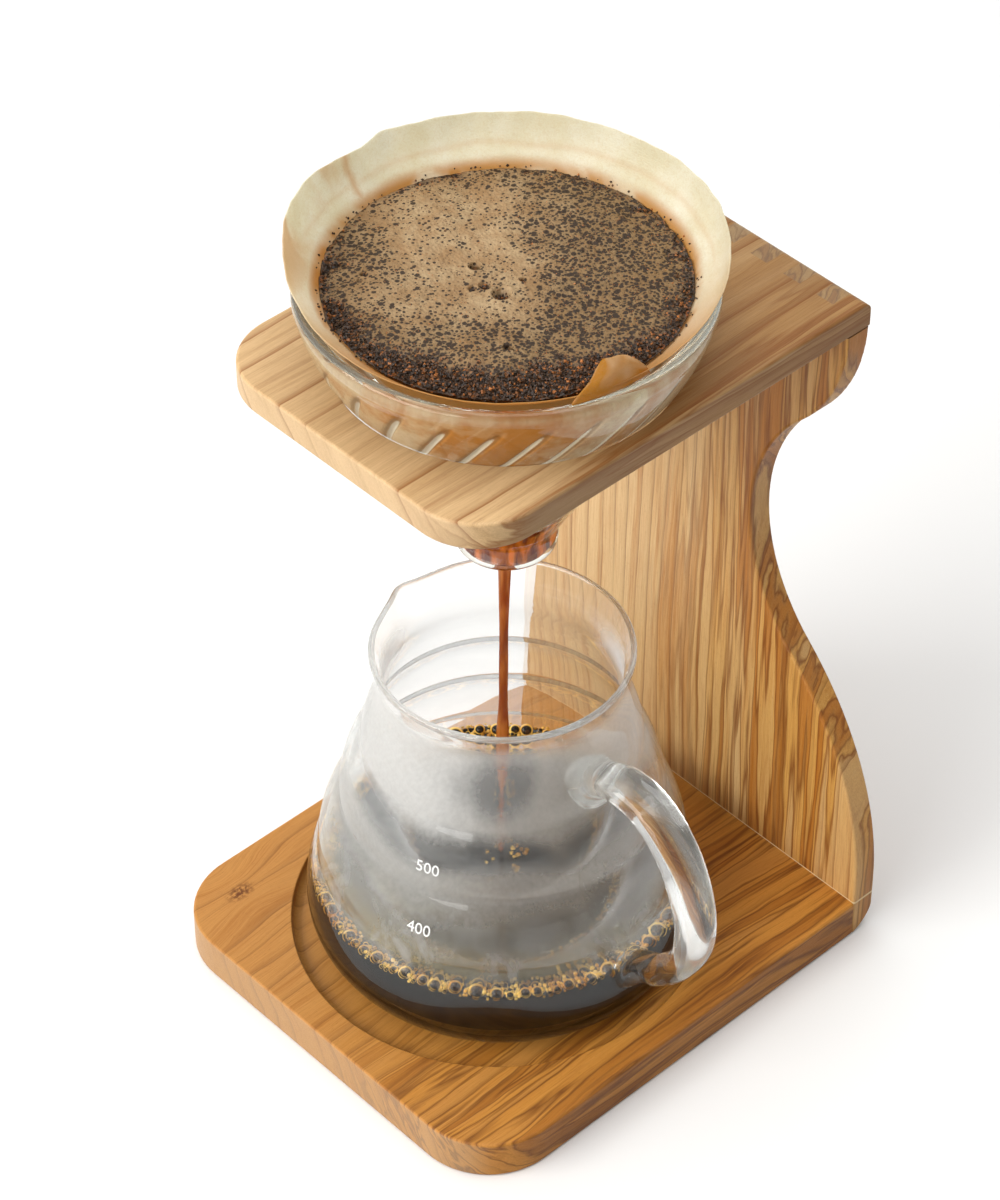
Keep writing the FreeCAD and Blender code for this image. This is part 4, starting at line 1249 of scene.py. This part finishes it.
def add_grain(points, faces, tones, rng, centre, size):
    """One closed eight-sided grain, turned and stretched at random. centre: in mm from the cone's axis."""
    turn = rng.uniform(0, math.pi)
    spin = Matrix.Rotation(turn, 3, Vector((rng.gauss(0, 1), rng.gauss(0, 1), rng.gauss(0, 1))))
    start = len(points)
    tone = rng.random() ** 1.6
    for corner in GRAIN_CORNERS:
        place = centre + spin @ (Vector(corner) * size * rng.uniform(0.7, 1.25))
        points.append(Vector((cone_axis.x + place.x * MM, cone_axis.y + place.y * MM, place.z * MM)))
        tones.append(tone)
    faces += [tuple(start + index for index in side) for side in GRAIN_SIDES]


def build_grains():
    """Loose coarse grounds: thick at the edge of the bed, scattered over the foam, a few stuck to the paper."""
    rng = random.Random(21)
    points, faces, tones = [], [], []
    level = BED_TOP - BED_SINK
    made = 0
    while made < GRAINS_ON_BED:
        radius = 50.6 * math.sqrt(rng.random())
        angle = rng.uniform(0, TURN)
        x, y = radius * math.cos(angle), radius * math.sin(angle)
        share = foam_share(x, y)
        if rng.random() > max(1.0 - share, 0.42 * speck_share(x, y) + 0.03):
            continue
        made += 1
        size = rng.uniform(0.26, 0.62) * (1.2 - 0.62 * share)
        sink = -0.1 * size + 0.35 * size * (1 - share) - 0.35 * size * share
        add_grain(points, faces, tones, rng, Vector((x, y, level + bed_height(x, y) + sink)), size)
    line = paper_line()
    for _ in range(GRAINS_ON_PAPER):
        angle, climb = rng.uniform(0, TURN), abs(rng.gauss(0, 0.5))
        height = BED_TOP - 1.2 + climb
        radius = float(np.interp(height, line[:, 1], line[:, 0])) - 0.5
        place = Vector((radius * math.cos(angle), radius * math.sin(angle), height))
        add_grain(points, faces, tones, rng, place, rng.uniform(0.22, 0.5))
    piece = new_piece("coffee_grains", points, faces, grain_material(), "filter", smooth=False)
    add_attribute(piece, "tone", tones)


# ---------------------------------------------------------------- running coffee
def build_outlet_coffee():
    """Coffee that fills the outlet and hangs at its lower edge."""
    profile = [(0.0, -0.2), (4.0, -0.35), (7.0, -0.1), (9.2, 0.3), (10.12, 1.2), (10.05, 6.0), (10.05, 12.0),
               (10.1, 15.6), (12.6, 20.6), (9.5, 21.5), (5.0, 21.0), (0.0, 21.0)]
    path = relax(even(profile, 0.8), 2)
    outline = [(0.0, path[0][1])] + [(max(r, 0.05), h) for r, h in path[1:-1]] + [(0.0, path[-1][1])]
    points, faces, _ = turned_mesh(outline, 96, cone_point)
    # the last value is the strength of the painted glow
    material = amber_liquid("outlet_coffee", srgb(96, 30, 3), srgb(230, 128, 22), 0.3)
    new_piece("outlet_coffee", points, faces, material, "dripper")


def build_stream():
    """The thin falling stream, from the outlet to the coffee in the server."""
    top = OUTLET + 0.6
    bottom = FOOT + COFFEE_TOP + 0.1
    rings, around = 90, 28
    start_x, start_y = cone_axis.x / MM - 1.6, cone_axis.y / MM + 1.0
    points = []
    for ring in range(rings + 1):
        share = ring / rings
        height = top + (bottom - top) * share
        radius = 2.3 - 1.0 * smooth_step(share, 0.0, 0.35) + 0.16 * wave(share * 7, 1.0, 2.0)
        radius += 0.75 * hump(share, 0.0, 0.03) + 0.45 * hump(share, 0.62, 0.09)
        radius -= 0.55 * smooth_step(share, 0.72, 0.8)
        x = start_x + 0.5 * wave(share * 3.0, 0.0, 4.0) - 0.9 * share
        y = start_y + 0.4 * wave(0.0, share * 3.0, 7.0) - 0.9 * share
        for turn in angles(around):
            size = radius * (1 + 0.08 * math.cos(2 * turn + share * 9))
            side, deep = size * math.cos(turn), size * math.sin(turn)
            points.append(Vector(((x + side) * MM, (y + deep) * MM, height * MM)))
    faces = []
    for ring in range(rings):
        faces += band((ring + 1) * around, ring * around, around)
    faces.append(tuple(range(around)))
    faces.append(tuple(reversed(range(rings * around, (rings + 1) * around))))
    # the last value is the strength of the painted glow
    material = amber_liquid("running_coffee", srgb(168, 84, 26), srgb(226, 148, 66), 0.06)
    piece = new_piece("coffee_stream", points, faces, material, "dripper")
    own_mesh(piece)


# ---------------------------------------------------------------- wood
def paint(node, material):
    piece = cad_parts[node]
    piece.data.materials.clear()
    piece.data.materials.append(material)
    for polygon in piece.data.polygons:
        polygon.material_index = 0


paint("base_board", wood(
    "base_wood", "Y", (srgb(200, 142, 72), srgb(206, 142, 60), srgb(168, 104, 34), srgb(108, 58, 16)),
    shear=0.55, bend=0.9, tone=(-5.0, 60.0, 1.0, 0.3), bold=(16.0, 30.0), lines=(7.5, 0.55, 7.0),
    streaks=0.9, end_shade=0.88, seed=3.0, knot=(-61.0, -54.0, 9.0)))
paint("top_shelf", wood(
    "shelf_wood", "Y", (srgb(218, 184, 136), srgb(180, 136, 82), srgb(150, 106, 58), srgb(144, 88, 36)),
    shear=0.75, bend=0.35, tone=(24.0, 28.0, 0.5, 0.7), bold=(42.0, 20.0), lines=(9.5, 1.0, 8.0),
    streaks=0.42, end_shade=1.0, seed=8.0))
paint("back_panel", wood(
    "panel_wood", "Z", (srgb(226, 192, 140), srgb(218, 164, 86), srgb(182, 110, 34), srgb(124, 62, 14)),
    shear=0.4, bend=0.4, tone=(8.0, 60.0, 1.0, 0.0), bold=(4.0, 46.0), lines=(6.0, 0.7, 8.0),
    streaks=0.9, end_shade=0.6, seed=5.0, glue=base_high.z / MM))

# ---------------------------------------------------------------- build
paper = paper_material()
build_server()
build_handle()
build_coffee()
build_bubbles()
build_print()
build_cone()
build_paper()
build_paper_tab()
build_bed()
build_grains()
build_outlet_coffee()
build_stream()


# ---------------------------------------------------------------- floor, light and camera
def build_floor():
    mesh = bpy.data.meshes.new("floor")
    half = 3.0
    corners = [(-half, -half, 0), (half, -half, 0), (half, half, 0), (-half, half, 0)]
    mesh.from_pydata(corners, [], [(0, 1, 2, 3)])
    floor = bpy.data.objects.new("floor", mesh)
    bpy.context.scene.collection.objects.link(floor)
    s = Shader("pale_floor")
    cloud = s.noise(s.place, 2.0, 2.0)
    colour = s.mix(cloud, (0.93, 0.93, 0.925, 1), (0.95, 0.95, 0.945, 1))
    bounced = s.add("ShaderNodeLightPath").outputs["Is Diffuse Ray"]
    colour = s.mix(bounced, colour, (0.5, 0.49, 0.47, 1))
    mesh.materials.append(s.done(s.principled(Base_Color=colour, Roughness=0.8, Specular_IOR_Level=0.1)))


def add_light(name, place, size, power, target, colour=(1, 1, 1)):
    data = bpy.data.lights.new(name, "AREA")
    data.shape = "RECTANGLE"
    data.size, data.size_y = size
    data.energy = power
    data.color = colour
    light = bpy.data.objects.new(name, data)
    light.location = place
    light.rotation_euler = (Vector(target) - Vector(place)).to_track_quat("-Z", "Y").to_euler()
    bpy.context.scene.collection.objects.link(light)


def build_world():
    """Soft light that fades to one side; glass and reflections see a brighter room than wood does."""
    world = bpy.data.worlds.new("studio")
    bpy.context.scene.world = world
    world.use_nodes = True
    nodes, links = world.node_tree.nodes, world.node_tree.links
    nodes.clear()
    output = nodes.new("ShaderNodeOutputWorld")
    room = nodes.new("ShaderNodeBackground")
    room.inputs["Color"].default_value = (1.0, 0.99, 0.975, 1)
    where = nodes.new("ShaderNodeTexCoord")
    split = nodes.new("ShaderNodeSeparateXYZ")
    path = nodes.new("ShaderNodeLightPath")
    choose = nodes.new("ShaderNodeMix")
    for_glass, for_wood, result = VALUE_SOCKETS
    for dim, bright, socket in ((0.14, 0.68, for_wood), (0.5, 0.95, for_glass)):
        side = nodes.new("ShaderNodeMapRange")
        side.inputs["From Min"].default_value = 1.0
        side.inputs["From Max"].default_value = -1.0
        side.inputs["To Min"].default_value = dim
        side.inputs["To Max"].default_value = bright
        links.new(split.outputs["X"], side.inputs["Value"])
        links.new(side.outputs["Result"], choose.inputs[socket])
    links.new(where.outputs["Generated"], split.inputs[0])
    links.new(path.outputs["Is Diffuse Ray"], choose.inputs["Factor"])
    links.new(choose.outputs[result], room.inputs["Strength"])
    links.new(room.outputs[0], output.inputs["Surface"])


def build_camera():
    data = bpy.data.cameras.new("view")
    camera = bpy.data.objects.new("view", data)
    bpy.context.scene.collection.objects.link(camera)
    azimuth, elevation = math.radians(46.98), math.radians(42.52)
    back = Vector((
        math.sin(azimuth) * math.cos(elevation),
        -math.cos(azimuth) * math.cos(elevation),
        math.sin(elevation),
    ))
    camera.location = (0.6268, -0.5824, 0.9310)
    camera.rotation_mode = "QUATERNION"
    camera.rotation_quaternion = (-back).to_track_quat("-Z", "Y")
    data.sensor_fit = "VERTICAL"
    data.sensor_width = data.sensor_height = 36
    data.lens = 119.1
    data.shift_x = -0.0022
    data.clip_start, data.clip_end = 0.05, 20
    bpy.context.scene.camera = camera


build_floor()
build_world()
add_light("key", place=(-0.6, -1.7, 1.3), size=(1.5, 1.1), power=34, target=(0, 0, 0.12),
          colour=(1.0, 0.985, 0.96))
add_light("fill", place=(0.45, -1.8, 0.9), size=(0.9, 0.9), power=11, target=(0, 0, 0.1))
add_light("top", place=(-0.1, 0.15, 1.9), size=(1.5, 1.5), power=18, target=(0, 0, 0.1))
build_camera()
bpy.context.scene.view_settings.view_transform = "Standard"
